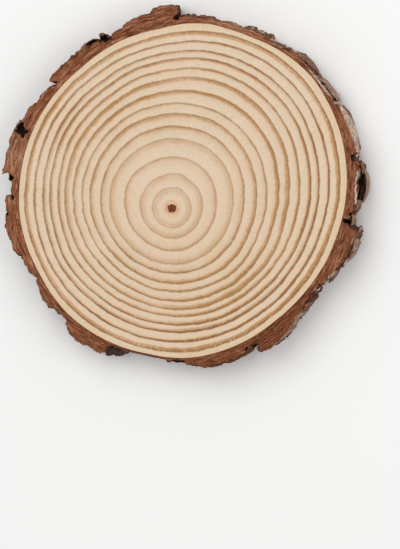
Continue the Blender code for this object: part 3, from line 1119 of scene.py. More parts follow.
@dataclass
class BarkRing:
    """The closed ring of bark: plates, notches, overhanging edges, scales and fissures."""

    form: LogForm
    plates: dict[str, tuple[tuple[float, float], ...]] = field(default_factory=lambda: {
        "right_scale": (
            (-3.3, 0.9), (-3.0, 3.0), (-1.6, 3.8), (0, 4.6), (3, 4.8), (6, 4.2), (9, 4.2),
            (12, 4.9), (13.3, 5.9), (14.3, 5.8), (14.7, 2.7), (16.4, 2.3)),
        "shoulder": ((16.8, 4.7), (18, 5.0), (22, 4.2), (27, 3.4), (31.6, 3.4)),
        "shoulder_tail": ((32.2, 2.3), (36, 2.3), (39, 1.6), (42.8, 1.4)),
        "knuckle": ((43.4, 1.7), (47.5, 2.1), (50.5, 3.0), (53, 2.0), (59.8, 1.5)),
        "upper_right": ((60.5, 2.6), (64, 3.1), (68, 2.4), (76.8, 1.9)),
        "thin_lip": ((77.5, 2.5), (81.5, 2.9), (82.5, 2.4), (83.5, 3.2), (88.4, 3.0)),
        "top_flake": (
            (89.3, 2.3), (89.2, 4.1), (88.2, 4.9), (88.1, 7.5), (90, 8.7), (92.8, 9.2),
            (95.7, 8.8), (96.6, 7.2), (101.5, 6.7), (105.4, 5.4), (106.0, 4.5), (109.5, 4.3)),
        "crumb": ((110, 2.5), (111, 3.3), (111.5, 5.9), (112.3, 6.9), (113.4, 6.5), (113.6, 2.9)),
        "upper_left": (
            (114.1, 4.7), (115.8, 6.4), (118.8, 6.5), (122, 5.6), (127, 5.5), (131.6, 6.1),
            (133.0, 6.2), (134.9, 5.3), (134.2, 3.4), (133.7, 2.2)),
        "left_step": ((134.9, 1.8), (135.5, 3.3), (139, 4.4), (143.2, 4.3)),
        "left_plate": (
            (144.1, 4.9), (146, 5.5), (150.9, 5.9), (152.3, 7.1), (154.8, 7.4), (157, 8.1),
            (159.2, 7.7), (160.7, 7.6), (164, 7.4), (169.3, 7.8), (168.5, 6.3), (167.9, 5.1)),
        "left_crumb": ((169.0, 4.7), (170.7, 4.8), (171.2, 3.4), (175.8, 2.9)),
        "left_foot": (
            (176.2, 5.2), (178.4, 5.9), (181.8, 5.6), (183.2, 6.3), (186, 6.7), (190, 6.2), (194.6, 5.7),
            (197.2, 4.2), (196.7, 2.9)),
        "lower_left_scale": ((197.9, 3.6), (204.6, 3.4), (205.8, 2.2), (207.1, 1.6)),
        "low_scale": ((207.8, 2.9), (211, 3.1), (214, 4.3), (218.0, 3.8), (219.1, 2.5)),
        "low_chip": ((221.0, 2.6), (226.1, 1.8)),
        "bottom_left": (
            (227.0, 4.0), (229, 5.1), (230.4, 6.2), (234, 6.4), (238, 5.6), (243.2, 6.2),
            (244.3, 4.5), (244.2, 2.4)),
        "bare_wood": (
            (246, 0.9), (256, 0.8), (267.4, 0.9), (268.2, 2.0), (269.6, 1.9), (270.4, 1.0)),
        "bottom_right": (
            (274.6, 1.1), (275.6, 2.6), (277.6, 3.5), (280, 3.8), (281.5, 5.0), (289, 4.8),
            (293.5, 5.2), (297.5, 4.3), (299.9, 4.1), (300.6, 2.9), (302.6, 2.8)),
        "lower_right": (
            (303.4, 3.6), (302.9, 4.8), (301.8, 5.4), (301.9, 6.4), (302.6, 7.3), (305.2, 7.9),
            (310, 7.4), (315, 6.3), (320, 4.8), (325.5, 3.7), (327.6, 3.4), (328.4, 2.2)),
        "split_scale": ((329.0, 1.9), (329.7, 2.7), (331.6, 3.2), (333.2, 2.6)),
        "right_step": ((334.3, 4.0), (338.5, 4.7), (340.8, 5.6)),
        "right_plate": (
            (341.7, 6.2), (344, 6.9), (348, 7.3), (351.6, 7.9), (353.5, 7.7), (354, 5.0),
            (355.4, 3.1), (355.8, 0.9)),
    })
    pits: tuple[Pit, ...] = (
        Pit(153.7, 4.9, 2.2, 3.2, 3.5, -10), Pit(152.0, 6.2, 2.0, 1.3, 2.5),
        Pit(112.0, 4.2, 3.6, 1.5, 3.5, 12), Pit(116.0, 6.2, 3.0, 1.1, 2.5),
        Pit(134.0, 3.1, 1.3, 0.6, 2.5, 20), Pit(169.9, 4.3, 1.5, 1.2, 3.0),
        Pit(176.6, 2.9, 1.0, 0.6, 1.5), Pit(328.8, 2.6, 0.35, 0.9, 1.5), Pit(326.0, 3.3, 1.2, 0.35, 1.2, 8),
        Pit(323.6, 4.0, 0.9, 0.35, 1.2, 10),
        Pit(356.4, 1.9, 0.55, 1.7, 2.5, 15), Pit(358.6, 3.0, 0.8, 0.7, 2.0),
        Pit(40.2, 2.3, 2.2, 0.4, 1.5, 20), Pit(15.6, 3.6, 1.3, 1.4, 3.0),
        Pit(301.6, 4.3, 1.5, 1.5, 3.0), Pit(298.7, 3.0, 1.4, 0.5, 1.6, -50),
        Pit(88.7, 3.1, 1.3, 0.9, 2.5), Pit(182.4, 5.6, 0.5, 1.0, 1.2),
    )
    cut_tones: tuple[tuple[float, float], ...] = (
        (0, 0.50), (22, 0.62), (50, 0.60), (73, 0.84), (97, 0.50), (123, 0.57), (150, 0.60), (162, 0.90),
        (173, 0.66), (187, 0.62), (215, 0.58), (236, 0.36), (290, 0.26), (310, 0.08), (330, 0.22),
        (347, 0.52),
        (360, 0.50))
    pale_zones: tuple[tuple[float, float, float, float], ...] = (
        (16.5, 33.5, 0.40, 1.0), (33.5, 43.0, 0.5, 0.55), (44.0, 53.0, 0.4, 0.35),
        (54.0, 76.0, 0.5, 0.35), (341.0, 354.5, 0.0, 0.30), (334.0, 340.5, 0.3, 0.6),
        (302.5, 327.0, 0.6, 0.45), (3.0, 13.0, 0.0, 0.45), (205.0, 219.0, 0.3, 0.3))
    pale_rims: tuple[tuple[float, float, float], ...] = (
        (1.0, 12.0, 0.8), (34.5, 45.5, 0.7), (54.0, 59.5, 0.5), (61.0, 67.0, 0.4), (76.8, 88.0, 0.3),
        (330.0, 332.5, 0.55),
        (318.0, 321.5, 0.5), (336.5, 339.0, 0.55), (342.0, 345.0, 0.5), (156.0, 160.0, 0.35))
    # How strongly painted shade darkens the outer rim of the bark, by angle round the pith.
    rim_dark: tuple[tuple[float, float], ...] = (
        (0, 1.0), (54, 0.8), (62, 0.5), (86, 0.4), (96, 0.45), (108, 0.6), (120, 0.35), (166, 0.35),
        (176, 0.6), (186, 0.4),
        (236, 0.45), (262, 0.8), (300, 0.8), (312, 0.7), (330, 1.0), (360, 1.0))
    column_step: float = 0.33
    side_levels: tuple[float, ...] = (
        0, 0.015, 0.035, 0.065, 0.1, 0.14, 0.18, 0.22, 0.26, 0.3, 0.34, 0.38, 0.42, 0.46, 0.5,
        0.54, 0.58, 0.62, 0.66, 0.7, 0.74, 0.78, 0.82, 0.86, 0.895, 0.925, 0.95, 0.97, 0.985, 1)
    cap_shares: tuple[float, ...] = (
        0.97, 0.93, 0.87, 0.80, 0.72, 0.64, 0.56, 0.48, 0.40, 0.32, 0.24, 0.16, 0.09, 0.04)
    under_shares: tuple[float, ...] = (0.05, 0.2, 0.4, 0.6, 0.78, 0.9, 0.97)
    swing: tuple[int, float, float] = (3, 1.6, 90)
    taper: float = 0.2
    thinnest: float = 0.7
    broken_end: tuple[float, float, float, float] = (243.3, 252.2, 6.9, 0.85)
    # Stretches of the outside that get painted shade: the start and end angle and the top level of each.
    shades: tuple[tuple[float, float, float], ...] = (
        (2.6, 13.4, 0.94), (14.5, 16.9, 1.0), (88.2, 89.6, 0.97), (109.6, 113.6, 1.0), (133.2, 135.2, 1.0),
        (167.8, 170.6, 0.98), (196.4, 198.2, 1.0), (219.0, 221.2, 1.0), (300.2, 303.0, 1.0),
        (328.3, 329.3, 0.9), (354.2, 357.0, 1.0))
    shelf: tuple[float, float, float, float] = (2.8, 13.2, 2.4, 0.45)

    def outline(self) -> list[tuple[float, float, float]]:
        """The bark's outline on the sawn face, in fine steps.

        Returns:
            For each column the angle and thickness at the outside, and the angle of its
            foot on the wood.
        """
        corners = [(degrees, thick, min(max(degrees, plate[0][0]), plate[-1][0]))
                   for plate in self.plates.values() for degrees, thick in plate]
        columns: list[tuple[float, float, float]] = []
        for place, start in enumerate(corners):
            end = corners[(place + 1) % len(corners)]
            if place == len(corners) - 1:
                end = (end[0] + 360, end[1], end[2] + 360)
            run = math.radians(end[0] - start[0]) * self.form.edge_radius(start[0]) / MM
            pieces = max(1, math.ceil(math.hypot(run, end[1] - start[1]) / self.column_step))
            for piece in range(pieces):
                share = piece / pieces
                columns.append(tuple(a + (b - a) * share for a, b in zip(start, end)))
        feet = [column[2] for column in columns]
        for place in range(1, len(feet)):
            feet[place] = max(feet[place], feet[place - 1] + 0.012)
        return [(degrees, thick, foot) for (degrees, thick, _), foot in zip(columns, feet)]

    def thickness_at(self, degrees: float) -> float:
        """The bark's thickness on the sawn face at an angle, in millimetres.

        Args:
            degrees: The angle round the pith.

        Returns:
            The thickness, read straight across the notches between the plates.
        """
        turn = (degrees + 3.3) % 360 - 3.3
        corners = [corner for plate in self.plates.values() for corner in plate]
        before = max((corner for corner in corners if corner[0] <= turn), default=corners[-1])
        after = min((corner for corner in corners if corner[0] > turn), default=(356.7, corners[0][1]))
        return before[1] + (after[1] - before[1]) * (turn - before[0]) / max(0.1, after[0] - before[0])

    def slow_wave(self, degrees: float, level: float) -> float:
        """A smooth value that varies round the slice and down through it."""
        angle = math.radians(degrees)
        return noise.noise(Vector((4 * math.cos(angle), 4 * math.sin(angle), 1.6 * level)))

    def relief(self, degrees: float, level: float) -> tuple[float, float, float, float]:
        """The scales, fissures and thin layers on the bark's outside.

        Args:
            degrees: The angle round the pith.
            level: The height as a share of the thickness.

        Returns:
            How far the outside moves out in millimetres, how dark it is in its fissures
            (partly their darker bark, partly painted shade), the scale's tone and how near the
            edge of a layer it is, each 0 to 1.
        """
        form = self.form
        here = form.place(degrees, form.edge_radius(degrees), level * form.thickness)
        here = (here - form.place(0, 0, 0)) / MM
        place = Vector((here.x / 11, here.y / 11, here.z / 17))
        place += 0.25 * noise.noise_vector(place * 2)
        distances, centres = noise.voronoi(place)
        step = 0.65 * (noise.cell(centres[0] * 7) + 0.6)
        gap = max(0.0, 1 - (distances[1] - distances[0]) / 0.13)
        tone = 0.5 + 0.5 * noise.cell(centres[0] * 13)

        small = Vector((here.x / 4.0, here.y / 4.0, here.z / 6.5))
        small += 0.35 * noise.noise_vector(small * 1.7)
        near, spots = noise.voronoi(small)
        crack = max(0.0, 1 - (near[1] - near[0]) / 0.10)
        crack *= smooth_step(noise.noise(here / 6), -0.1, 0.3)
        chip = 0.28 * noise.cell(spots[0] * 5)

        wave = 3.4 * (noise.noise(Vector((here.x / 6.5, here.y / 6.5, here.z / 9))) +
                      0.35 * noise.noise(here / 1.9) + 1.2)
        layer = wave - math.floor(wave)
        ledge = smooth_step(layer, 0.0, 0.16)
        terrace = 0.30 * (math.floor(wave) + ledge)
        crumbs = 0.13 * noise.noise(here / 0.9) + 0.07 * noise.noise(here / 0.45)

        fade = min(1.0, (1 - level) * form.thickness / MM / 3)
        soft = min(1.0, (1 - level) * form.thickness / MM / 1.0)
        height = fade * (step - 0.9 * gap) + soft * (chip - 0.45 * crack + terrace - 1.25) + crumbs
        # Open gaps and cracks are darkened: partly the darker bark deep in them, partly painted shade,
        # stronger away from the sawn face.
        open_gap = smooth_step(gap + 0.6 * noise.noise(here / 4.5), 0.55, 1.05)
        dark = max(open_gap * (0.35 + 0.65 * fade), 0.75 * crack * soft)
        edge = max(0.0, 1 - abs(layer - 0.1) / 0.14) * soft
        return height, dark, min(1.0, max(0.0, tone + 0.25 * noise.cell(spots[0] * 3))), edge

    def pale_at(self, degrees: float, level: float) -> float:
        """How pale the outside is where the weathered skin shows in the photo.

        Args:
            degrees: The angle round the pith.
            level: The height as a share of the thickness.

        Returns:
            0 for bare brown scale up to 1 for the palest skin.
        """
        turn = degrees % 360
        found = 0.04
        for start, end, low, strength in self.pale_zones:
            if start < turn < end:
                sides = smooth_step(turn, start, start + 0.8) * smooth_step(-turn, -end, -end + 0.8)
                found = max(found, strength * sides * smooth_step(level, low - 0.15, low + 0.1))
        return found

    def shaded(self, turn: float, level: float) -> float:
        """How much painted shade darkens the outside inside a notch or behind the loose scale.

        Args:
            turn: The angle round the pith.
            level: The height as a share of the thickness.

        Returns:
            0 in the open up to 1 in the deepest shade.
        """
        place = Vector((turn, 6 * level, 0))
        turn += 1.1 * (1 - level) * noise.noise(Vector((0.3 * turn, 2.5 * level, 4)))
        ragged = 1 + 0.6 * noise.noise(place * 1.3)
        depth = along_table(level, ((0.0, 0.55), (0.6, 0.75), (0.85, 1.0)))
        found = 0.0
        for start, end, top in self.shades:
            inside = smooth_step(turn, start, start + 0.7) * smooth_step(-turn, -end, 0.7 - end)
            below = smooth_step(-level, -top - 0.02, 0.06 - top)
            strength = depth if end - start < 4 else 1.15 - 0.4 * level
            found = max(found, min(1.0, inside * ragged) * below * strength)
        return found

    def side(self, degrees: float, thick: float, level: float) -> BarkSpot:
        """A spot on the bark's outside.

        Args:
            degrees: The angle of its column on the sawn face.
            thick: The bark's thickness there on the sawn face, in millimetres.
            level: The height as a share of the thickness of the slice.

        Returns:
            The spot.
        """
        form = self.form
        depth = 1 - level
        count, swing, crest = self.swing
        turned = degrees + swing * depth * math.cos(math.radians(count * (degrees - crest)))
        rough = form.place(degrees, form.edge_radius(degrees), 0) / MM
        rough.z = thick
        ragged = 0.26 * noise.noise(rough / 1.3) + 0.16 * noise.noise(rough / 0.6)
        ragged += 0.75 * max(0.0, noise.noise(rough / 1.9 + Vector((9, 0, 0))) - 0.25)
        tooth = math.radians(degrees) * form.edge_radius(degrees) / MM / 3.4 + 0.9 * noise.noise(rough / 5)
        ragged += 0.6 * (tooth % 1 - 0.5) * (0.55 + 0.45 * noise.cell(Vector((math.floor(tooth), 3, 8))))
        thick *= 1 - self.taper * depth * (1 + 2 * self.slow_wave(degrees, level))
        start, end, end_thick, top = self.broken_end
        broken = 0.0
        if level < top and start < degrees < end:
            slope = (end - degrees) / (end - start) * (top - level) / top
            thick = max(thick, end_thick * slope ** 0.5)
            broken = smooth_step(slope, 0.0, 0.1)
        start, end, out, top = self.shelf
        if level < top and start < degrees < end:
            thick += out * math.sin(math.pi * (degrees - start) / (end - start)) * (top - level) / top
        move, dark, tone, edge = self.relief(turned, level)
        thin = smooth_step(thick, 0.8, 2.5)
        thick = max(thick + (move + ragged) * (0.25 + 0.75 * thin), self.thinnest)
        point = form.place(turned, form.edge_radius(turned) + form.seam + thick * MM,
                           level * form.thickness)
        # Painted shade along the top of the outside, just under the sawn edge, weaker where the skin is pale.
        rim = smooth_step(level, 0.94, 1.0) * (0.9 - 0.9 * self.pale_at(degrees, 1))
        rim *= along_table(degrees % 360, self.rim_dark)
        # The broken end's slope, the notches and the recess behind the loose scale are darkened with painted
        # shade.
        dark = max(dark * (1 - broken), 0.68 * broken, self.shaded(turned % 360, level))
        angle = math.radians(turned)
        return BarkSpot(point, (0.0, rim, dark), (tone, self.pale_at(turned, level), edge),
                        (math.cos(angle), math.sin(angle), thick))

    def sawn(self, column: tuple[float, float, float], outer: BarkSpot, share: float,
             level: int) -> BarkSpot:
        """A spot on one of the two sawn faces.

        Args:
            column: The column's outer angle, thickness and foot.
            outer: The spot at its outer end.
            share: How far out from the wood the spot lies, as a share of the thickness.
            level: 1 for the face that shows, 0 for the underside.

        Returns:
            The spot.
        """
        form = self.form
        degrees, _, foot = column
        offset = outer.point - form.place(0, 0, 0)
        radius = math.hypot(offset.x, offset.y)
        reached = degrees + (math.degrees(math.atan2(offset.y, offset.x)) - degrees + 180) % 360 - 180
        turned = foot + (reached - foot) * share ** 3
        thick = (radius - form.edge_radius(reached) - form.seam) / MM * share
        point = form.place(turned, form.edge_radius(turned) + form.seam / 2 + thick * MM, 0)
        ragged = 0.55 * noise.noise(point / MM / 1.5) + 0.3 * noise.noise(point / MM / 0.6)
        pitted, sunk = -1.0, 0.0
        for pit in self.pits:
            inside = pit.reach(turned, thick, radius / MM) + ragged
            pitted = max(pitted, inside)
            sunk = max(sunk, pit.depth * smooth_step(inside, 0.0, 0.5))
        if level == 0:
            sunk, pitted = sunk * 0.3, pitted - 0.4
        grain = 0.10 * (1 + noise.noise(point / MM / 0.8)) * smooth_step(share, 0.0, 0.1)
        drop = (sunk + grain) * MM
        point.z = form.thickness - drop if level else drop
        # Painted shade along the outer edge of the sawn face, weaker where the rim is pale; the dark line
        # next to the wood is the real seam.
        starts = outer.lay[2] - 0.55
        rim = smooth_step(thick, starts, starts + 0.4)
        pale = self.pale_rim(turned % 360) * smooth_step(thick, starts - 0.5, starts)
        strong = along_table(turned % 360, self.rim_dark) * (0.95 - 0.8 * max(outer.tones[1], pale))
        rim = max(rim * strong, 0.5 * smooth_step(-thick, -0.55, -0.2))
        # Painted shade inside the hollows of the sawn face.
        dark = smooth_step(pitted, -0.08, 0.22)
        angle = math.radians(turned)
        tone = along_table(turned % 360, self.cut_tones)
        return BarkSpot(point, (1.0, rim, dark), (tone, pale, 0.0),
                        (math.cos(angle), math.sin(angle), thick))

    def pale_rim(self, turn: float) -> float:
        """How pale the outer rim of the sawn face is at an angle round the pith."""
        return max((strength * smooth_step(turn, start, start + 1) * smooth_step(-turn, -end, 1 - end)
                    for start, end, strength in self.pale_rims), default=0.0)

    def section(self, column: tuple[float, float, float]) -> list[BarkSpot]:
        """One cross-section through the bark, going up the outside and in over the top.

        Args:
            column: The column's outer angle, thickness and foot.

        Returns:
            Its spots in order.
        """
        degrees, thick, foot = column
        outside = [self.side(degrees, thick, level) for level in self.side_levels]
        top = [self.sawn(column, outside[-1], share, 1) for share in self.cap_shares]
        under = [self.sawn(column, outside[0], share, 0) for share in self.under_shares]
        form = self.form
        inner = []
        for height in (form.thickness - 0.05 * MM, 0.05 * MM):
            point = form.place(foot, form.edge_radius(foot) + 0.1 * MM, height)
            angle = math.radians(foot)
            lay = (math.cos(angle), math.sin(angle), 0.0)
            inner.append(BarkSpot(point, (1.0, 0.3, 0.0), (0.5, 0.0, 0.0), lay))
        return outside + top + inner + under

    def build(self) -> bpy.types.Object:
        """Models the ring from a grid that is wrapped round the wood and closed on itself.

        Returns:
            The finished piece.
        """
        sections = [self.section(column) for column in self.outline()]
        wide, high = len(sections), len(sections[0])
        bpy.ops.object.select_all(action="DESELECT")
        bpy.ops.mesh.primitive_grid_add(
            x_subdivisions=wide, y_subdivisions=high, size=2 * self.form.edge_mean,
            location=(*self.form.pith, self.form.thickness / 2))
        piece = edit_new("bark_ring")
        bpy.ops.object.mode_set(mode="OBJECT")
        low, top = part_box("bark")
        spots = [sections[x % wide][y % high] for y in range(high + 1) for x in range(wide + 1)]
        inside = [min(max(value, start), end) for spot in spots
                  for value, start, end in zip(spot.point, low, top)]
        piece.data.vertices.foreach_set("co", inside)
        keep_vectors(piece.data, "marks_and_shade", [spot.marks_and_shade for spot in spots])
        keep_vectors(piece.data, "tones", [spot.tones for spot in spots])
        keep_vectors(piece.data, "lay", [spot.lay for spot in spots])
        piece.data.update()
        bpy.ops.object.mode_set(mode="EDIT")
        bpy.ops.mesh.select_all(action="SELECT")
        bpy.ops.mesh.remove_doubles(threshold=1e-7)
        bpy.ops.object.mode_set(mode="OBJECT")
        return piece

    def dress(self, piece: bpy.types.Object) -> None:
        """Gives the ring its finish.

        Args:
            piece: The ring.
        """
        settle(piece, BarkFinish(self.form.pith).build(), 60)
        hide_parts("bark")


class Weather(Enum):
    """How a loose flake has weathered: its tone and how pale its skin is."""

    BROWN = (0.42, 0.0)
    DULL = (0.72, 0.06)
    GREY = (0.95, 0.34)
    PINK = (0.9, 0.80)
    WHITE = (1.0, 1.0)


@dataclass(frozen=True)
class Flake:
    """A thin scale of bark that has come partly loose from the ring.

    It runs from the start to the end angle and from the low to the high level. Its rise
    over the ring at its start and end, its bow between them, its skin and its lean outward
    at the foot are in millimetres. A point narrows its start.
    """

    start: float
    end: float
    low: float
    high: float
    rise: tuple[float, float]
    weather: Weather
    bow: float = 0.2
    skin: float = 0.5
    lean: float = 0.0
    point: float = 0.0


@dataclass
class LooseFlakes:
    """The loose flakes round the outside of the bark, each grown on at one edge."""

    ring: BarkRing
    flakes: tuple[Flake, ...] = (
        Flake(1.7, 13.2, 0.03, 0.68, (1.2, -1.1), Weather.GREY, 2.6, 0.9, 0.1, 0.45),
        Flake(3.6, 12.9, 0.10, 0.63, (0.9, -1.3), Weather.BROWN, 1.9, 0.45, 0.1, 0.3),
        Flake(2.6, 11.6, 0.12, 0.58, (0.1, -1.3), Weather.BROWN, 1.2, 0.45, 0.1, 0.2),
        Flake(10.2, 14.2, 0.45, 0.97, (0.9, 0.3), Weather.DULL, 0.2, 0.4, 0.1, 0.5),
        Flake(3.5, 7.5, 0.60, 0.93, (0.7, 0.6), Weather.BROWN, 0.1, 0.4, 0.2, 0.5),
        Flake(15.7, 22.9, 0.12, 0.95, (0.9, 0.35), Weather.PINK, 0.1, 0.5, 0.3, 0.3),
        Flake(21.6, 30.3, 0.08, 0.97, (0.5, 0.3), Weather.PINK, 0.2, 0.45, 0.4, 0.1),
        Flake(24.0, 31.0, 0.02, 0.55, (0.9, 0.5), Weather.DULL, 0.2, 0.4, 0.3),
        Flake(32.6, 41.5, 0.25, 1.0, (0.9, 0.5), Weather.GREY, 0.5, 0.45, 0.2, 0.4),
        Flake(33.5, 38.5, 0.05, 0.70, (1.2, 0.6), Weather.WHITE, 0.2, 0.35, 0.2, 0.3),
        Flake(42.6, 50.0, 0.15, 0.93, (0.6, 0.3), Weather.DULL, 0.5, 0.5, 0.3, 0.3),
        Flake(46.5, 53.0, 0.35, 1.0, (0.4, 0.5), Weather.GREY, 0.3, 0.35, 0.1, 0.2),
        Flake(54.0, 57.2, 0.45, 0.97, (0.2, 0.1), Weather.WHITE, 0.1, 0.25, 0.2),
        Flake(57.5, 60.2, 0.3, 0.92, (0.1, 0.3), Weather.PINK, 0.1, 0.25, 0.1),
        Flake(62.0, 66.5, 0.55, 0.98, (0.1, 0.2), Weather.WHITE, 0.1, 0.25, 0.1),
        Flake(69.5, 74.0, 0.5, 0.95, (0.2, 0.1), Weather.GREY, 0.1, 0.25, 0.1),
        Flake(354.6, 358.8, 0.50, 1.0, (2.2, 0.3), Weather.GREY, 0.2, 0.3, 0.2, 0.1),
        Flake(355.4, 357.8, 0.15, 0.75, (2.0, 0.9), Weather.PINK, 0.1, 0.3, 0.3, 0.2),
        Flake(14.4, 16.8, 0.30, 0.88, (1.2, 1.0), Weather.BROWN, 0.1, 0.3, 0.2),
        Flake(343.2, 351.0, 0.10, 0.93, (0.5, 0.7), Weather.GREY, 0.4, 0.6, 0.4, 0.3),
        Flake(348.6, 354.6, 0.30, 0.98, (0.3, 1.0), Weather.GREY, 0.2, 0.5, 0.2, 0.2),
        Flake(342.0, 344.6, 0.62, 1.0, (0.5, 0.2), Weather.WHITE, 0.1, 0.3),
        Flake(336.6, 339.2, 0.55, 0.99, (0.3, 0.5), Weather.WHITE, 0.1, 0.3),
        Flake(334.5, 341.0, 0.05, 0.62, (0.7, 0.4), Weather.DULL, 0.2, 0.5, 0.2, 0.3),
        Flake(330.2, 332.2, 0.5, 0.97, (0.3, 0.2), Weather.WHITE, 0.1, 0.25),
        Flake(318.5, 327.0, 0.15, 0.94, (-0.4, -0.5), Weather.DULL, 0.2, 0.4, 0.3, 0.4),
        Flake(306.0, 316.5, 0.2, 0.96, (0.4, 0.3), Weather.GREY, 0.2, 0.4, 0.4, 0.2),
    )
    bare: Table = ((171.5, 175.5), (243.0, 262.0))
    hidden_start: float = 92
    hidden_width: float = 206
    count: int = 34
    seed: int = 11
    columns: int = 26
    rows: int = 18

    def scattered(self) -> list[Flake]:
        """Chooses the flakes of the stretches that the photo doesn't show from the side.

        Returns:
            The flakes, each with one end on the ring and the other a little lifted.
        """
        chance = random.Random(self.seed)
        found = []
        for place in range(self.count):
            step = place + chance.uniform(-0.35, 0.35)
            start = self.hidden_start + self.hidden_width * step / self.count
            low = chance.uniform(0.0, 0.5)
            lifted = chance.uniform(0.2, 0.55)
            rise = (lifted, -0.15) if chance.random() < 0.5 else (-0.15, lifted)
            weather = chance.choice((Weather.BROWN, Weather.BROWN, Weather.BROWN, Weather.DULL))
            end = start + chance.uniform(4.5, 9.0)
            high = min(0.94, low + chance.uniform(0.35, 0.7))
            found.append(Flake(start, end, low, high, rise, weather,
                               chance.uniform(0.0, 0.25), chance.uniform(0.3, 0.5),
                               chance.uniform(0.0, 0.3), chance.uniform(0.0, 0.6)))
        return [flake for flake in found
                if all(flake.end < start or flake.start > end for start, end in self.bare)]

    def footing(self, degrees: float, level: float) -> float:
        """The ring's mean thickness round a spot of its outside, in millimetres.

        Args:
            degrees: The angle round the pith.
            level: The height as a share of the thickness.

        Returns:
            The mean of the ring's own thickness near the spot.
        """
        found = [self.ring.side(turn, self.ring.thickness_at(turn), height).lay[2]
                 for turn in (degrees - 0.5, degrees, degrees + 0.5)
                 for height in (max(0.0, level - 0.12), level, min(1.0, level + 0.12))]
        return sum(found) / len(found)

    def spots(self, flake: Flake) -> list[BarkSpot]:
        """Where the vertices of a flake's outer face lie, row by row from its foot.

        Args:
            flake: The flake.

        Returns:
            A spot for each vertex of the face.
        """
        form = self.ring.form
        middle = (flake.low + flake.high) / 2
        turns = (flake.start + 1, flake.end - 1)
        ends = [self.footing(turn, middle) + rise for turn, rise in zip(turns, flake.rise)]
        tone, pale = flake.weather.value
        found = []
        for row in range(self.rows + 1):
            for column in range(self.columns + 1):
                along, up = 2 * column / self.columns - 1, 2 * row / self.rows - 1
                flush = flake.high > 0.985 and up > 0
                turn = along * math.sqrt(1 - (0.10 if flush else 0.33) * up * up)
                climb = up * (1.0 if flush else math.sqrt(1 - 0.33 * along * along))
                share = (turn + 1) / 2
                climb *= 1 - flake.point * (1 - share) ** 1.5
                degrees = flake.start + (flake.end - flake.start) * share
                level = middle + (flake.high - flake.low) / 2 * climb
                here = (form.place(degrees, form.edge_radius(degrees), level * form.thickness) -
                        form.place(0, 0, 0)) / MM
                near_rim = max(abs(along), abs(up))
                stray = noise.noise_vector(here / 3.2) * 1.3 + noise.noise_vector(here / 1.1) * 0.5
                degrees += math.degrees(stray.x * near_rim * MM / form.edge_radius(degrees))
                level += stray.y * near_rim * MM / form.thickness * (0.0 if up > 0.98 and flush else 1.0)
                layer = 2.6 * noise.noise(Vector((here.x / 5, here.y / 5, here.z / 7)))
                ledge = layer - math.floor(layer)
                terrace = 0.16 * (math.floor(layer) + smooth_step(ledge, 0.0, 0.2))
                thick = (ends[0] + (ends[1] - ends[0]) * share + flake.bow * math.sin(math.pi * share) +
                         flake.lean * -climb + 0.22 * noise.noise(here / 3) + 0.09 * noise.noise(here / 0.8) +
                         terrace - 0.35 * flake.skin * near_rim ** 6)
                point = form.place(degrees, form.edge_radius(degrees) + form.seam + thick * MM,
                                   min(max(level, 0.004), 0.999) * form.thickness)
                angle = math.radians(degrees)
                sawn = 0.75 * (up > 0.98 and flush)
                # Painted shade along the flake's edges, except on a sawn top.
                dark = 0.55 * smooth_step(near_rim, 0.9, 1.0) * (1 - sawn)
                found.append(BarkSpot(point, (sawn, 0.0, dark),
                                      (tone, pale, max(0.0, 1 - abs(ledge - 0.12) / 0.12)),
                                      (math.cos(angle), math.sin(angle), thick)))
        return found

    def shape(self, flake: Flake, name: str) -> bpy.types.Object:
        """Models one flake from a grid, bent and torn to shape and given its thickness.

        Args:
            flake: The flake.
            name: Its piece's name.

        Returns:
            The piece.
        """
        spots = self.spots(flake)
        bpy.ops.object.select_all(action="DESELECT")
        bpy.ops.mesh.primitive_grid_add(x_subdivisions=self.columns, y_subdivisions=self.rows,
                                        size=10 * MM, location=spots[0].point)
        piece = edit_new(name)
        bpy.ops.object.mode_set(mode="OBJECT")
        piece.data.vertices.foreach_set("co", [value for spot in spots for value in spot.point])
        keep_vectors(piece.data, "marks_and_shade", [spot.marks_and_shade for spot in spots])
        keep_vectors(piece.data, "tones", [spot.tones for spot in spots])
        keep_vectors(piece.data, "lay", [spot.lay for spot in spots])
        piece.data.update()
        shell = piece.modifiers.new("skin", "SOLIDIFY")
        shell.thickness = flake.skin * MM
        shell.offset = -1
        bpy.ops.object.modifier_apply(modifier=shell.name)
        low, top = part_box("bark")
        marks_and_shade = piece.data.attributes["marks_and_shade"].data
        for vertex in piece.data.vertices:
            vertex.co = [min(max(value, start), end) for value, start, end in zip(vertex.co, low, top)]
            # The inner layer, the flake's underside, gets painted shade.
            if vertex.index >= len(spots):
                marks_and_shade[vertex.index].vector = (0.0, 0.0, 0.8)
        return piece

    def build(self) -> bpy.types.Object:
        """Models the flakes and joins them into one piece.

        Returns:
            The finished piece.
        """
        pieces = [self.shape(flake, f"flake_{place}")
                  for place, flake in enumerate((*self.flakes, *self.scattered()))]
        bpy.ops.object.select_all(action="DESELECT")
        for piece in pieces:
            piece.select_set(True)
        bpy.context.view_layer.objects.active = pieces[0]
        bpy.ops.object.join()
        pieces[0].name = pieces[0].data.name = "bark_flakes"
        return pieces[0]

    def dress(self, piece: bpy.types.Object) -> None:
        """Gives the flakes the ring's own finish.

        Args:
            piece: The joined flakes.
        """
        settle(piece, bpy.data.materials["scaly_bark"], 50)


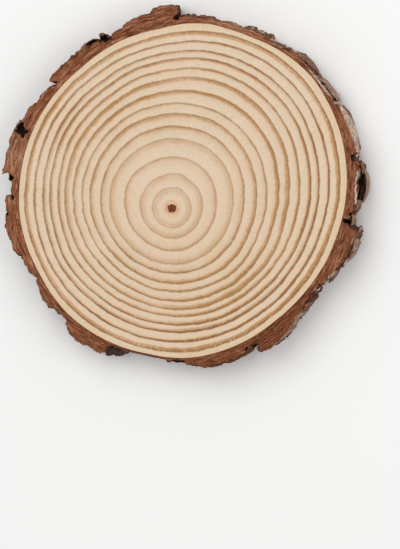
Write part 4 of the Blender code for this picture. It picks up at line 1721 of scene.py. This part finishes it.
@dataclass
class Studio:
    """The pale floor, the soft lights and the camera at the photo's angle."""

    floor_size: float = 6.0
    camera_place: tuple[float, float, float] = (0.388957, 0.048012, 1.772333)
    aim: tuple[float, float, float] = (0.004773, -0.037461, 0.0)
    lens: float = 283.256
    key_power: float = 16.8
    fill_power: float = 7.0
    sky: float = 0.55

    def build(self) -> None:
        """Sets the floor, lights, sky and camera."""
        self.lay_floor()
        self.hang_light("key", (-0.6, 0.9, 1.7), 1.7, self.key_power)
        self.hang_light("fill", (1.3, 0.1, 1.2), 1.2, self.fill_power)
        world = bpy.data.worlds.new("studio")
        world.use_nodes = True
        world.node_tree.nodes["Background"].inputs[0].default_value = (1, 1, 1, 1)
        world.node_tree.nodes["Background"].inputs[1].default_value = self.sky
        bpy.context.scene.world = world
        bpy.context.scene.view_settings.view_transform = "Standard"
        self.set_camera()

    def lay_floor(self) -> None:
        """Lays a wide floor with a soft unevenness."""
        bpy.ops.object.select_all(action="DESELECT")
        bpy.ops.mesh.primitive_grid_add(x_subdivisions=8, y_subdivisions=8, size=self.floor_size)
        floor = bpy.context.active_object
        floor.name = "studio_floor"
        floor.data.materials.append(FloorFinish().build())

    def hang_light(self, name: str, place: tuple[float, float, float], size: float,
                   power: float) -> None:
        """Hangs a soft square light that faces the slice.

        Args:
            name: The light's name.
            place: Where it hangs.
            size: The length of its side.
            power: Its power in watts.
        """
        data = bpy.data.lights.new(name, "AREA")
        data.size = size
        data.energy = power
        light = bpy.data.objects.new(name, data)
        light.location = place
        light.rotation_euler = (-Vector(place)).to_track_quat("-Z", "Y").to_euler()
        bpy.context.scene.collection.objects.link(light)

    def set_camera(self) -> None:
        """Sets the camera with the photo's upward direction along +Y."""
        data = bpy.data.cameras.new("camera")
        data.lens = self.lens
        data.clip_start, data.clip_end = 0.1, 20
        camera = bpy.data.objects.new("camera", data)
        back = (Vector(self.camera_place) - Vector(self.aim)).normalized()
        across = Vector((0, 1, 0)).cross(back).normalized()
        upward = back.cross(across)
        camera.matrix_world = Matrix((
            (across.x, upward.x, back.x, self.camera_place[0]),
            (across.y, upward.y, back.y, self.camera_place[1]),
            (across.z, upward.z, back.z, self.camera_place[2]),
            (0, 0, 0, 1)))
        bpy.context.scene.collection.objects.link(camera)
        bpy.context.scene.camera = camera


def main() -> None:
    """Builds the slice and the studio."""
    logging.basicConfig(level=logging.INFO, format="%(name)s: %(message)s")
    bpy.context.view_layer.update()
    form = LogForm()
    ring = BarkRing(form)
    for maker in (WoodDisc(form), ring, LooseFlakes(ring)):
        maker.dress(maker.build())
    Studio().build()


if __name__ == "__main__":
    main()
